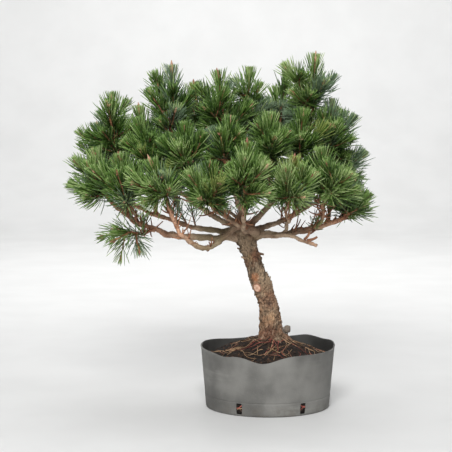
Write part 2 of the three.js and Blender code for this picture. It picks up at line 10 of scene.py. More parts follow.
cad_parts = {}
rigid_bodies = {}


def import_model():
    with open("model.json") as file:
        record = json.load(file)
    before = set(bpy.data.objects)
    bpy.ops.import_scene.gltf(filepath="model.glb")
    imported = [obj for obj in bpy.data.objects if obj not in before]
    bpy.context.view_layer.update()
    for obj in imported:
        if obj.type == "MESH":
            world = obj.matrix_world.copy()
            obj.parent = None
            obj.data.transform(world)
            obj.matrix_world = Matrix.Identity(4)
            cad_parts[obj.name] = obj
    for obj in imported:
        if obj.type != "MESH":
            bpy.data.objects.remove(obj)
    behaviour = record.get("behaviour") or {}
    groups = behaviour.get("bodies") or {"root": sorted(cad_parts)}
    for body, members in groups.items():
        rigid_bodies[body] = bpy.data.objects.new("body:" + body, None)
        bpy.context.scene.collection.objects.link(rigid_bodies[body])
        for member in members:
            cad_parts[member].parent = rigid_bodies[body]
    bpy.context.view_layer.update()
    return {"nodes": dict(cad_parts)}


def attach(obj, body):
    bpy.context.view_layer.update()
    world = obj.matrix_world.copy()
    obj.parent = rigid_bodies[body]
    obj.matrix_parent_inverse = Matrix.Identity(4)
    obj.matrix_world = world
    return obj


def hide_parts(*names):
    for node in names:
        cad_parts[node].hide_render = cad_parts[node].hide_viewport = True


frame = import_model()
print("frame loaded:", len(frame["nodes"]), "nodes")

# Numbers and arrays. Lengths are in millimetres up to the studio, and a mesh is scaled as it is made.

millimetre = 0.001  # in Blender's metres
up = np.array([0.0, 0.0, 1.0])
goldenAngle = 2.39996  # in radians
wordMask = np.uint64(0xffffffff)
latticeSteps = np.array([73856093, 19349663, 83492791])  # make one number of a lattice corner's three
seedStep, axisStep = 1013, 7919  # keep the noise of each seed and of each axis apart


def scramble(places):
    # shifts and products that turn whole numbers into ones spread evenly from 0 to 1
    state = np.asarray(places).astype(np.uint64) & wordMask
    mixed = (state ^ (state >> np.uint64(15))) * (state | np.uint64(1)) & wordMask
    folded = (mixed ^ (mixed >> np.uint64(7))) * (mixed | np.uint64(61)) & wordMask
    mixed = mixed ^ ((mixed + folded) & wordMask)
    return (mixed ^ (mixed >> np.uint64(14))) / 2 ** 32


def seeded(seed, start, count):
    # the numbers after place start in a seed's stream: the scrambled multiples of one odd step
    places = np.arange(start + 1, start + count + 1).astype(np.uint64)
    return scramble(np.uint64(seed) + places * np.uint64(0x6d2b79f5))


def drawn(random, low, high, count):
    # a column of so many numbers between low and high
    return random.uniform(low, high, (count, 1))


def unit(vectors):
    # each vector over its own length
    return vectors / np.maximum(np.linalg.norm(vectors, axis=-1, keepdims=True), 1e-9)


def dots(a, b):
    # each vector times its fellow, summed over their three parts
    return (a * b).sum(-1)


def eased(values, low, high):
    # 0 below low and 1 above high, by 3t² - 2t³ between
    share = np.clip((values - low) / (high - low), 0, 1)
    return share * share * (3 - 2 * share)


def fullTurn(sides):
    # the angles of a ring's corners, evenly spaced
    return np.arange(sides) / sides * 2 * np.pi


def polar(radius, angle, height):
    # points from a radius, an angle and a height: r cos a, r sin a, h
    radius, angle, height = np.broadcast_arrays(radius, angle, height)
    return np.stack([radius * np.cos(angle), radius * np.sin(angle), height], -1)


def level(bearing):
    # the level direction at a bearing in degrees
    return polar(1.0, np.radians(bearing), 0.0)


def ballGrid(rings, sides, reach):
    # circles from low to high on a ball of radius 1, as far as the given share of half a turn each way
    rise = np.linspace(-reach, reach, rings)[:, None] * np.pi
    return polar(np.cos(rise), fullTurn(sides), np.sin(rise))


def lumps(points, size, seed):
    # value noise from -1 to 1: scrambled numbers at a lattice's corners, blended by eased shares
    cell = points / size
    base = np.floor(cell)
    share = eased(cell - base, 0, 1)
    base = base.astype(np.int64)
    total = 0
    for corner in itertools.product((0, 1), repeat=3):
        weight = np.where(corner, share, 1 - share).prod(-1)
        total = total + weight * scramble((base + corner) @ latticeSteps + seedStep * seed)
    return 2 * total - 1


def lumpVectors(points, size, seed):
    # three lots of that noise, one for each axis
    return np.stack([lumps(points, size, seed + axis) for axis in range(3)], -1)


def addLumps(values, points, layers):
    # each layer's height times its noise on top of the values
    for height, size, seed in layers:
        values = values + height * lumps(points, size, seed)
    return values


def plates(points, size, seed):
    # second nearest less nearest distance to centres scattered one to a cell: 0 along the cracks
    cell = points / size
    base = np.floor(cell).astype(np.int64)
    nearest = np.full(cell.shape[:-1], 9.0)
    second = nearest.copy()
    for corner in itertools.product((-1, 0, 1), repeat=3):
        key = (base + corner) @ latticeSteps + seedStep * seed
        centre = base + corner + np.stack([scramble(key + axisStep * axis) for axis in range(3)], -1)
        away = np.linalg.norm(cell - centre, axis=-1)
        second = np.minimum(second, np.maximum(nearest, away))
        nearest = np.minimum(nearest, away)
    return second - nearest


# Meshes from whole arrays


def gridFaces(rings, sides, bodies=1, wrap=True):
    # four corners for each ring, side and body: a corner, the next round, and both on the next ring
    body = np.arange(bodies)[:, None, None] * rings * sides
    ring = np.arange(rings - 1)[None, :, None] * sides
    side = np.arange(sides if wrap else sides - 1)[None, None, :]
    after = (side + 1) % sides
    corners = [body + ring + side, body + ring + after]
    corners += [corners[1] + sides, corners[0] + sides]
    return np.stack(corners, -1).reshape(-1, 4)


def endFaces(rings, sides, bodies):
    # one face over each body's first ring, turned round, and one over its last
    body = np.arange(bodies)[:, None] * rings * sides
    side = np.arange(sides)[None, :]
    return np.concatenate([body + side[:, ::-1], body + (rings - 1) * sides + side])


def closedFaces(rings, sides, bodies=1):
    # the flanks of each body and both its ends
    return [gridFaces(rings, sides, bodies), endFaces(rings, sides, bodies)]


def dealtFaces(kinds, rings, sides):
    # each body's kind for all of its flanks and then its ends, in the order of closedFaces
    return np.concatenate([kinds.repeat((rings - 1) * sides), kinds, kinds])


def addObject(name, data):
    # puts a mesh, a light or a camera in the scene
    made = bpy.data.objects.new(name, data)
    bpy.context.scene.collection.objects.link(made)
    return made


def buildPiece(name, points, faceSets, finishes, dealt=None, replaces=()):
    # corners in millimetres and sets of faces with as many corners each become one mesh on the body
    mesh = bpy.data.meshes.new(name)
    counts = np.concatenate([np.full(len(faces), faces.shape[1]) for faces in faceSets])
    loops = np.concatenate([faces.ravel() for faces in faceSets])
    mesh.vertices.add(len(points))
    mesh.vertices.foreach_set("co", (points * millimetre).astype(np.float32).ravel())
    mesh.loops.add(len(loops))
    mesh.loops.foreach_set("vertex_index", loops.astype(np.int32))
    mesh.polygons.add(len(counts))
    mesh.polygons.foreach_set("loop_start", (np.cumsum(counts) - counts).astype(np.int32))
    mesh.polygons.foreach_set("use_smooth", np.ones(len(counts), bool))
    for finish in finishes:
        mesh.materials.append(finish)
    if dealt is not None:
        mesh.polygons.foreach_set("material_index", dealt.astype(np.int32))
    mesh.update(calc_edges=True)
    mesh.validate()
    piece = addObject(name, mesh)
    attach(piece, "root")
    if replaces:
        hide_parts(*replaces)
    print(name, "triangles:", int((counts - 2).sum()))
    return piece


def planeNormal(paths):
    # square to the plane of each path's two ends and middle, or to a slant line where it is straight
    first = paths[:, -1] - paths[:, 0]
    middle = paths[:, paths.shape[1] // 2] - paths[:, 0]
    normal = np.cross(first, middle)
    plain = np.cross(first, np.array([0.31, 0.95, 0.05]))
    bent = np.linalg.norm(normal, axis=-1, keepdims=True) > 0.02 * dots(first, first)[:, None]
    return unit(np.where(bent, normal, plain))


def spokes(across, over, sides):
    # evenly turned directions in the plane of two others: across cos a + over sin a
    turn = fullTurn(sides)[:, None]
    return across[..., None, :] * np.cos(turn) + over[..., None, :] * np.sin(turn)


def sections(paths, sides):
    # for each ring of each path, spokes that are square to the path
    headings = unit(np.gradient(paths, axis=1))
    across = planeNormal(paths)[:, None]
    across = unit(across - dots(across, headings)[..., None] * headings)
    return spokes(across, np.cross(headings, across), sides)


def tubes(paths, radii, sides):
    # round bars: every ring's middle plus its radius times the spokes, closed at both ends
    if radii.ndim == 2:
        radii = radii[:, :, None]
    points = paths[:, :, None] + radii[..., None] * sections(paths, sides)
    bodies, rings = paths.shape[:2]
    return points.reshape(-1, 3), closedFaces(rings, sides, bodies)


def joined(parts):
    # several bodies' corners and face sets as one, each set's corners counted on from the bodies before
    points = []
    sets = []
    start = 0
    for corners, faceSets in parts:
        sets += [faces + start for faces in faceSets]
        points.append(corners)
        start += len(corners)
    return np.concatenate(points), sets


# Shader expressions


class Socket:
    # a node's output: each operator adds the Math node that works it out
    def __init__(self, finish, output):
        self.finish = finish
        self.output = output

    def maths(self, operation, *values):
        return self.finish.node("ShaderNodeMath", {"operation": operation}, dict(enumerate(values)))

    def __add__(self, other):
        return self.maths("ADD", self, other)

    def __radd__(self, other):
        return self.maths("ADD", other, self)

    def __sub__(self, other):
        return self.maths("SUBTRACT", self, other)

    def __rsub__(self, other):
        return self.maths("SUBTRACT", other, self)

    def __mul__(self, other):
        return self.maths("MULTIPLY", self, other)

    def __rmul__(self, other):
        return self.maths("MULTIPLY", other, self)

    def between(self, low, high):
        # 0 below low and 1 above high, eased
        settings = {"interpolation_type": "SMOOTHSTEP"}
        return self.finish.node("ShaderNodeMapRange", settings, {0: self, 1: low, 2: high})


def screenColour(shown):
    # a colour as a screen shows it, 0 to 255, made linear
    shown = np.array(shown) / 255
    linear = np.where(shown > 0.04045, ((shown + 0.055) / 1.055) ** 2.4, shown / 12.92)
    return (*linear.tolist(), 1.0)


class Finish:
    # a material, its surface shader and the place of each point on the piece
    def __init__(self, name, colour, roughness):
        self.material = bpy.data.materials.new(name)
        self.material.use_nodes = True
        self.material.diffuse_color = screenColour(colour)
        self.tree = self.material.node_tree
        self.surface = self.tree.nodes["Principled BSDF"]
        self.place = self.node("ShaderNodeTexCoord", output=3)
        self.paint(colour, roughness)

    def feed(self, target, value):
        # links a socket, and takes three numbers for a colour as a screen shows it
        if isinstance(value, Socket):
            self.tree.links.new(value.output, target)
        elif target.type == "RGBA" and len(value) == 3:
            target.default_value = screenColour(value)
        else:
            target.default_value = value

    def node(self, kind, settings=None, inputs=None, output=0):
        # any node: its settings first, then what each of its sockets holds or is linked to
        made = self.tree.nodes.new(kind)
        for setting, value in (settings or {}).items():
            setattr(made, setting, value)
        for target, value in (inputs or {}).items():
            self.feed(made.inputs[target], value)
        return Socket(self, made.outputs[output])

    def noise(self, scale, detail=3, roughness=0.55, at=None):
        # clouds about a half, with so many to a metre
        inputs = {"Vector": at or self.place, "Scale": scale, "Detail": detail, "Roughness": roughness}
        return self.node("ShaderNodeTexNoise", None, inputs)

    def mix(self, factor, first, second, blend="MIX"):
        # the first colour where the factor is 0 and the second where it is 1
        settings = {"data_type": "RGBA", "blend_type": blend, "clamp_factor": True}
        return self.node("ShaderNodeMix", settings, {0: factor, 6: first, 7: second}, 2)

    def stretched(self, x, y, z):
        # the place with each axis scaled, so that a pattern on it is drawn out along the small ones
        return self.node("ShaderNodeMapping", {"vector_type": "POINT"}, {0: self.place, 3: (x, y, z)})

    def distance(self, centre):
        # how far each point is from one centre, in metres
        point = tuple(value * millimetre for value in centre)
        return self.node("ShaderNodeVectorMath", {"operation": "DISTANCE"}, {0: self.place, 1: point}, 1)

    def height(self):
        # how high each point is, in metres
        return self.node("ShaderNodeSeparateXYZ", None, {0: self.place}, 2)

    def paint(self, colour, roughness, relief=None, depth=0.0):
        # sets or links the colour, the roughness and the bump's relief, whose depth is in metres
        self.feed(self.surface.inputs["Base Color"], colour)
        self.feed(self.surface.inputs["Roughness"], roughness)
        if relief is not None:
            inputs = {"Strength": 1.0, "Distance": depth, "Height": relief}
            self.feed(self.surface.inputs["Normal"], self.node("ShaderNodeBump", None, inputs))
        return self.material


# Limbs, as in the solids. Each leaves its parent at share `at`, goes `reach` sideways at its bearing and
# `rise` up, and bends by way of a point at share `bend` of the way that lies `sag` lower. `girth` is its
# radius at root and tip. Its foliage is given by where the leader's top is from the limb's tip, and how
# many shoots stand within `spread` of it.

trunk = {
    # height, place right and back, and radius, from the foot up
    "rings": [(100.3, 8, 0, 25), (107, 7, 0, 20.5), (118, 5.5, 0, 17.2), (136, 3.5, 0, 15),
              (156, 1, -1, 13.8), (174, -6, -2, 15), (188, -11, -2, 16), (202, -17, -1, 13.6),
              (219, -21, 0, 12.4), (240, -28, 0, 12.8), (254, -33, 0, 16.5), (266, -35, 0, 17),
              (276, -36, 0, 9)],
    "room": 17,  # radius kept free for it as the shoots grow
}

shoot = {
    "length": 54, "shortest": 0.6,  # and the shortest as a share of it
    "leader": 0.72,  # the most of a mass's height that its leader takes
    "twig": 20, "twigFrom": 0.3,  # what a twig's length varies by, and the least length as a share of it
    "slantFrom": 25, "slant": 75,  # degrees from the mass's axis, at least and how much more at most
    "lift": 0.35,  # how much a shoot turns up from its twig
    "stemFrom": 0.35,  # the share of the stem where twigs start
    "apart": 27,  # from the tip of one shoot to the next
    "core": 3, "margin": 10,  # room round a shoot, and how far its tip stays below the leader's
    "darts": 80,  # shoots thrown for each that stays
    "seed": 101,
    "finer": 9,  # finer shoots in each mass, unless it is a thin one
    "finerIn": {"left_low": 2},
    "finerFrom": 0.15, "finerApart": 17, "finerDarts": 60, "finerCore": 0.8, "finerMargin": 6,
    "finerLength": (0.42, 0.68),  # of the full length
    "finerSeed": 901,
    "onBough": 3,  # short shoots low on each bough
    # more of them where the crown's inside would show from behind, further in and more upright
    "filled": {"back": 20, "back_rear": 16, "back_high": 18, "back_right": 14, "back_right_high": 14,
               "back_left_up": 8, "top_back": 8, "back_left": 7, "up_centre": 8},
    # where they start along the bough, how much they turn up, and how long their twigs and shoots are
    "skirt": {"from": 0.62, "up": 0.5, "twig": 1, "green": 1},
    "skirtFilled": {"from": 0.28, "up": 1.4, "twig": 1.5, "green": 1.3},
    "skirtTwig": (9, 20), "skirtGreen": (14, 30),  # their usual lengths
    "skirtSeed": 301,
}

limbs = {
    # parent, at, bearing, reach, rise, bend, sag, girth at root and tip, and the foliage's bearing, out,
    # rise, spread, shoots and, where they aren't the usual ones, lift and slant
    "left": ("trunk", 0.9, 191, 203, 54, 0.68, 56, 6, 3.4, (180, 25, 72, 50, 5)),
    "left_up": ("left", 0.84, 115, 40, 76, 0.4, 0, 3.2, 2.5, (134, 8, 100, 46, 5)),
    "left_front": ("left", 0.76, 262, 40, 26, 0.6, 8, 3, 2.4, (230, 20, 70, 48, 5)),
    "left_low": ("left", 0.6, 240, 32, -4, 0.5, 4, 2.6, 2.1, (200, 40, 8, 44, 4, -0.5, 70)),
    "low_left": ("trunk", 0.87, 220, 149, 62, 0.86, 88, 5.4, 2.8, (209, 26, 56, 52, 6)),
    "back_left": ("trunk", 0.92, 162, 216, 63, 0.6, 36, 5, 3, (168, 22, 96, 40, 6)),
    "back_left_up": ("back_left", 0.62, 113, 38, 90, 0.4, 0, 3.2, 2.5, (160, 12, 70, 54, 5)),
    "mid_left": ("trunk", 0.93, 196, 128, 80, 0.5, 8, 5, 3, (188, 36, 86, 50, 5)),
    "up_left": ("trunk", 0.95, 177, 105, 132, 0.6, 34, 5, 3, (231, 6, 108, 54, 6)),
    "up_left_front": ("up_left", 0.55, 254, 74, 32, 0.5, 4, 3, 2.4, (240, 12, 62, 50, 5)),
    "up_centre": ("trunk", 0.95, 198, 26, 128, 0.5, 10, 5, 3, (165, 16, 104, 50, 5)),
    "up_centre_front": ("up_centre", 0.45, 256, 70, 46, 0.6, 6, 3, 2.4, (310, 10, 66, 50, 5)),
    "top_back": ("up_centre", 0.75, 64, 48, 58, 0.5, 6, 3, 2.4, (46, 8, 88, 46, 4)),
    "front": ("trunk", 0.93, 268, 108, 44, 0.6, 22, 4.6, 3, (281, 24, 88, 54, 6)),
    "front_left": ("front", 0.5, 222, 62, 32, 0.6, 8, 3, 2.4, (264, 22, 60, 52, 5)),
    "right": ("trunk", 0.91, 354, 144, 24, 0.6, 18, 6, 3.8, (2, 20, 62, 42, 6)),
    "right_in": ("right", 0.36, 271, 82, 50, 0.6, 10, 3.2, 2.4, (292, 22, 64, 52, 5)),
    "right_up": ("right", 0.72, 277, 55, 46, 0.5, 4, 3.4, 2.5, (242, 18, 70, 50, 5)),
    "right_high": ("right", 0.84, 78, 44, 60, 0.5, 4, 3.2, 2.5, (30, 16, 66, 46, 5)),
    "stub": ("trunk", 0.87, 344, 109, -8, 0.7, -22, 4, 2.6),
    "back_right": ("trunk", 0.93, 34, 148, 48, 0.6, 16, 4.6, 3, (57, 48, 100, 56, 6)),
    "up_right": ("trunk", 0.95, 339, 83, 104, 0.55, 24, 5, 3, (285, 28, 72, 50, 5)),
    "up_right_front": ("up_right", 0.5, 262, 51, 56, 0.6, 8, 3, 2.4, (278, 18, 72, 50, 5)),
    "up_right_top": ("up_right", 0.86, 49, 46, 70, 0.6, 10, 2.8, 2.3, (0, 8, 102, 46, 5)),
    "up_right_out": ("up_right", 0.76, 25, 70, 44, 0.6, 10, 2.8, 2.3, (0, 6, 74, 40, 5)),
    "back": ("trunk", 0.93, 90, 112, 58, 0.6, 22, 5, 3, (75, 58, 94, 60, 6)),
    "back_rear": ("back", 0.4, 143, 105, 48, 0.6, 12, 3.2, 2.5, (116, 52, 92, 60, 6)),
    "back_high": ("back", 0.7, 183, 64, 100, 0.6, 20, 3, 2.4, (139, 18, 86, 54, 5)),
    "back_right_high": ("back", 0.82, 339, 53, 100, 0.6, 20, 3, 2.4, (339, 18, 92, 54, 5)),
}
limbColumns = ("parent", "at", "bearing", "reach", "rise", "bend", "sag", "root", "tip", "leafy")
leafyColumns = ("bearing", "out", "rise", "spread", "shoots", "lift", "slant")
limbs = {name: dict(zip(limbColumns, row)) for name, row in limbs.items()}
barCount = 8  # straight bars that stand for a curve where room is measured
trunkOwner, stemOwner = 99, 100  # a limb's bars have its place in the table, and a stem's go on from here

# How it grows


def trunkAxis(share):
    # the axis runs straight from ring to ring, and share is a share of its height
    rings = np.array(trunk["rings"], float)
    height = rings[0, 0] + share * (rings[-1, 0] - rings[0, 0])
    right, back = [np.interp(height, rings[:, 0], rings[:, column]) for column in (1, 2)]
    return np.array([right, back, height])


def along(curve, share):
    # a point at a share of a curve with three control points: (1-t)² a + 2t(1-t) b + t² c
    share = np.asarray(share, float)[..., None]
    start, bend, end = curve[..., 0, :], curve[..., 1, :], curve[..., 2, :]
    return (1 - share) ** 2 * start + 2 * share * (1 - share) * bend + share ** 2 * end


def growLimbs():
    # every limb's start, bend and end, in the order of the table
    curves = {}
    for name, limb in limbs.items():
        parent = limb["parent"]
        start = trunkAxis(limb["at"]) if parent == "trunk" else along(curves[parent], limb["at"])
        end = start + level(limb["bearing"]) * limb["reach"] + up * limb["rise"]
        bend = start + (end - start) * limb["bend"] - up * limb["sag"]
        curves[name] = np.stack([start, bend, end])
    return curves


def barRows(points, root, tip, owner):
    # the bars between points in a row: both ends, a radius that tapers, and whose they are
    share = np.arange(len(points) - 1) / (len(points) - 1)
    radius = root + (tip - root) * share
    return np.column_stack([points[:-1], points[1:], radius, np.full(len(share), owner)])


def curveBars(curve, root, tip, owner):
    # a curve as bars between evenly spaced shares of it
    return barRows(along(curve, np.arange(barCount + 1) / barCount), root, tip, owner)


def layBars(curves):
    # the bars of the trunk, which follow every other ring or so, and of all limbs
    rings = np.array(trunk["rings"], float)[:, [1, 2, 0]]
    number = np.linspace(0, len(rings) - 1, barCount + 1)
    coarse = np.stack([np.interp(number, np.arange(len(rings)), rings[:, axis]) for axis in range(3)], 1)
    bars = [barRows(coarse, trunk["room"], trunk["room"], trunkOwner)]
    for order, (name, curve) in enumerate(curves.items()):
        bars.append(curveBars(curve, limbs[name]["root"], limbs[name]["tip"], order))
    return np.concatenate(bars)


def segmentDistance(a, b, c, d):
    # least distance of two segments: solve for the nearest shares of both, each held from 0 to 1
    u, v, w = b - a, d - c, a - c
    uu, uv, vv, uw, vw = dots(u, u), dots(u, v), dots(v, v), dots(u, w), dots(v, w)
    flat = uu * vv - uv * uv
    s = np.where(flat > 1e-6, np.clip((uv * vw - vv * uw) / np.where(flat > 1e-6, flat, 1), 0, 1), 0)
    t = np.clip((uv * s + vw) / vv, 0, 1)
    s = np.clip((uv * t - uw) / uu, 0, 1)
    return np.linalg.norm(a + u * s[..., None] - c - v * t[..., None], axis=-1)


def clearance(bars, start, end):
    # how far each line stays from the nearest bar's skin
    apart = segmentDistance(start[:, None], end[:, None], bars[None, :, :3], bars[None, :, 3:6])
    return (apart - bars[None, :, 6]).min(1)


def lineDistance(points, starts, ends):
    # distance of every point from every line between its ends
    run = ends - starts
    share = np.clip(dots(points[:, None] - starts, run) / dots(run, run), 0, 1)
    return np.linalg.norm(points[:, None] - starts - run * share[..., None], axis=-1)


def spaceAround(order, starts, ends, points):
    # how much nearer each point is to its own line than to any other
    apart = lineDistance(points, starts, ends)
    own = apart[:, order].copy()
    apart[:, order] = np.inf
    return apart.min(1) - own


def planMasses(curves):
    # the line that each mass grows along, and the stem that bends from the bough's tip into it
    masses = []
    for name, limb in limbs.items():
        if "leafy" not in limb:
            continue
        leafy = dict(zip(leafyColumns, limb["leafy"]))
        curve = curves[name]
        heading = unit(curve[2] - curve[1])
        start = curve[2] + heading * 0.3
        top = start + level(leafy["bearing"]) * leafy["out"] + up * leafy["rise"]
        height = np.linalg.norm(top - start)
        axis = (top - start) / height
        foot = top - axis * min(shoot["length"], height * shoot["leader"])
        turn = start + heading * np.linalg.norm(foot - start) * 0.5
        masses.append({"name": name, "order": len(masses), "start": start, "top": top, "foot": foot,
                       "axis": axis, "stem": np.stack([start, turn, foot]), "girth": limb["tip"] * 0.85,
                       "spread": leafy["spread"], "shoots": leafy["shoots"],
                       "lift": leafy.get("lift", shoot["lift"]),
                       "slant": leafy.get("slant", shoot["slant"])})
    return masses


def throwShoots(mass, numbers, start, axis, size):
    # twigs leave their starts at a slant to the axis, at any turn round it, and rise into a shoot
    side = unit(np.cross(axis, np.array([0.0, 1.0, 0.0])))
    front = np.cross(axis, side)
    turn = 2 * np.pi * numbers[:, 1:2]
    slant = np.radians(shoot["slantFrom"] + mass["slant"] * numbers[:, 2:3])
    out = (side * np.cos(turn) + front * np.sin(turn)) * np.sin(slant) + axis * np.cos(slant)
    foot = start + out * shoot["twig"] * (shoot["twigFrom"] + numbers[:, 3:4]) * size
    direction = unit(out + up * mass["lift"])
    share = shoot["shortest"] + (1 - shoot["shortest"]) * numbers[:, 4:5]
    tip = foot + direction * shoot["length"] * share * size
    return {"from": start, "foot": foot, "direction": direction, "tip": tip}


def roomy(mass, darts, lines, bars, margin, core):
    # which darts end below the leader, near its line, in their mass's own space and clear of the bars
    far = mass["top"] + mass["axis"] * 99
    reach = lineDistance(darts["tip"], mass["start"][None], far[None])[:, 0]
    good = (darts["tip"][:, 2] <= mass["top"][2] - margin) & (reach <= mass["spread"])
    middle = (darts["from"] + darts["foot"]) / 2
    for points in (middle, darts["foot"], darts["tip"]):
        good &= spaceAround(mass["order"], *lines, points) >= 2 * core
    others = bars[bars[:, 7] != stemOwner + mass["order"]]
    twigRoom = clearance(others, middle, darts["foot"])
    shootRoom = clearance(others, darts["foot"], darts["tip"])
    return good & (np.minimum(twigRoom, shootRoom) >= core + 2)


def furthest(planned, darts, good, apart):
    # the good dart whose tip is furthest from all the tips there already, if it is far enough
    tips = np.array([other["tip"] for other in planned])
    distance = np.linalg.norm(darts["tip"][:, None] - tips, axis=-1).min(1)
    distance = np.where(good, distance, -1)
    best = int(distance.argmax())
    if distance[best] < apart:
        return None
    return {key: value[best] for key, value in darts.items()}


def planShoots(mass, lines, bars):
    # the leader and then, each time, the best of many thrown shoots, as in the solids
    planned = [{"from": mass["foot"] - 3 * mass["axis"], "foot": mass["foot"], "direction": mass["axis"],
                "tip": mass["top"]}]
    thrown = 0
    while len(planned) < mass["shoots"]:
        numbers = seeded(shoot["seed"] + mass["order"], thrown, 5 * shoot["darts"]).reshape(-1, 5)
        thrown += numbers.size
        start = along(mass["stem"], shoot["stemFrom"] + (1 - shoot["stemFrom"]) * numbers[:, 0])
        darts = throwShoots(mass, numbers, start, mass["axis"], 1)
        good = roomy(mass, darts, lines, bars, shoot["margin"], shoot["core"])
        best = furthest(planned, darts, good, shoot["apart"])
        if best is None:
            break
        planned.append(best)
    return planned


def planFiner(mass, lines, bars):
    # shorter shoots by the same rule, which start on the mass's stem, its twigs and its shoots
    random = np.random.default_rng(shoot["finerSeed"] + mass["order"])
    planned = list(mass["planned"])
    finer = []
    count = shoot["finerDarts"]
    low, high = shoot["finerLength"]
    for _ in range(shoot["finerIn"].get(mass["name"], shoot["finer"])):
        numbers = random.random((count, 5))
        share = random.random((count, 1))
        parent = random.integers(0, len(mass["planned"]) + 2, count)
        starts = along(mass["stem"], shoot["finerFrom"] + (1 - shoot["finerFrom"]) * numbers[:, 0])
        ends = starts.copy()
        for index, spray in enumerate(mass["planned"]):
            starts[parent == index] = spray["from"]
            ends[parent == index] = spray["foot"] + 0.4 * (spray["tip"] - spray["foot"])
        size = low + (high - low) * random.random((count, 1))
        darts = throwShoots(mass, numbers, starts + (ends - starts) * share, mass["axis"], size)
        good = roomy(mass, darts, lines, bars, shoot["finerMargin"], shoot["finerCore"])
        best = furthest(planned, darts, good, shoot["finerApart"])
        if best is None:
            break
        planned.append(best)
        finer.append(best)
    return finer


def planSkirt(order, name, curve, masses):
    # short shoots that rise from the outer part of each bough, and belong to the nearest mass
    random = np.random.default_rng(shoot["skirtSeed"] + order)
    habit = shoot["skirtFilled" if name in shoot["filled"] else "skirt"]
    count = shoot["filled"].get(name, shoot["onBough"])
    share = random.uniform(habit["from"], 0.97, count)
    start = along(curve, share)
    heading = unit(along(curve, share + 0.02) - start)
    onward = heading * drawn(random, 0.4, 1.2, count)
    out = unit(onward + unit(random.normal(size=(count, 3))) * 0.7 + up * habit["up"])
    foot = start + out * drawn(random, *shoot["skirtTwig"], count) * habit["twig"]
    direction = unit(out + up * 0.5)
    tip = foot + direction * drawn(random, *shoot["skirtGreen"], count) * habit["green"]
    for index in range(count):
        nearest = min(masses, key=lambda mass: np.linalg.norm(mass["foot"] - tip[index]))
        nearest["skirt"].append({"from": start[index], "foot": foot[index], "direction": direction[index],
                                 "tip": tip[index]})


curves = growLimbs()
limbBars = layBars(curves)
masses = planMasses(curves)
bars = np.concatenate([limbBars] + [curveBars(mass["stem"], mass["girth"], mass["girth"],
                                              stemOwner + mass["order"]) for mass in masses])
lines = (np.array([mass["start"] for mass in masses]), np.array([mass["top"] for mass in masses]))
for mass in masses:
    mass["planned"] = planShoots(mass, lines, bars)
for mass in masses:
    mass["finer"] = planFiner(mass, lines, bars)
    mass["skirt"] = []
for order, (name, curve) in enumerate(curves.items()):
    if name != "stub":
        planSkirt(order, name, curve, masses)
for kind in ("planned", "finer", "skirt"):
    print(kind, "shoots:", sum(len(mass[kind]) for mass in masses))

# Pot: a soft grey shell with a wavy cut rim, a band at the foot and slots to drain it

pot = {
    "footRadius": 93, "rimRadius": 100, "height": 90, "wall": 2, "oval": 0.015,
    # radius and height of the rings from under the pot to its edge
    "foot": [(25, 0.35), (60, 0.3), (86, 0.3), (88, 0), (91.4, 0), (92.6, 0.5)],
    # bearing, half width in degrees, height
    "waves": [(264, 16, -10.5), (228, 12, -4), (118, 18, -2), (48, 16, 6), (12, 20, 5.5), (160, 22, 3)],
    "waveFrom": 22,  # the rim's waves push the wall up or down above this height
    "slots": {"count": 6, "first": 242, "halfWidth": 3, "bottom": 1.4, "top": 19.2, "rings": 9},
    "band": 20,  # height of the seam over the foot band
    "seam": 0.45, "seamWidth": 0.5, "bandOut": 0.3,  # how deep the seam is, and how far the band stands out
    "bandRings": [19.6, 20, 20.4, 21.2],
    "wallFrom": 23, "wallRings": 27,
    "lip": 0.5, "lipHeight": 3,  # how far the rim stands out
    "dents": 0.7, "dentLumps": [(1, 46, 3), (0.4, 19, 4)],
    "softEdge": 0.4,
    "sides": 360,
    "grey": (106, 107, 104),
}
slotSpacing = 360 // pot["slots"]["count"]


def bulge(angle, height):
    # the wall's push out of round, which grows with height
    return 1 + pot["oval"] * (height / pot["height"]) * np.cos(2 * angle + 0.9)


def rimWave(angle):
    # how far the cut rim is above or below its mean height: a bell curve for each wave
    height = 0
    for at, width, rise in pot["waves"]:
        turn = np.angle(np.exp(1j * (angle - np.radians(at))))
        height = height + rise * np.exp(-(turn / np.radians(width)) ** 2)
    return height


def outerRadius(height):
    # the pot's outside, which widens evenly from foot to rim
    return pot["footRadius"] + (pot["rimRadius"] - pot["footRadius"]) * height / pot["height"]


def fromSlot(degree):
    # how many degrees a bearing is past the middle of the nearest slot
    half = slotSpacing // 2
    return (degree - pot["slots"]["first"] + half) % slotSpacing - half


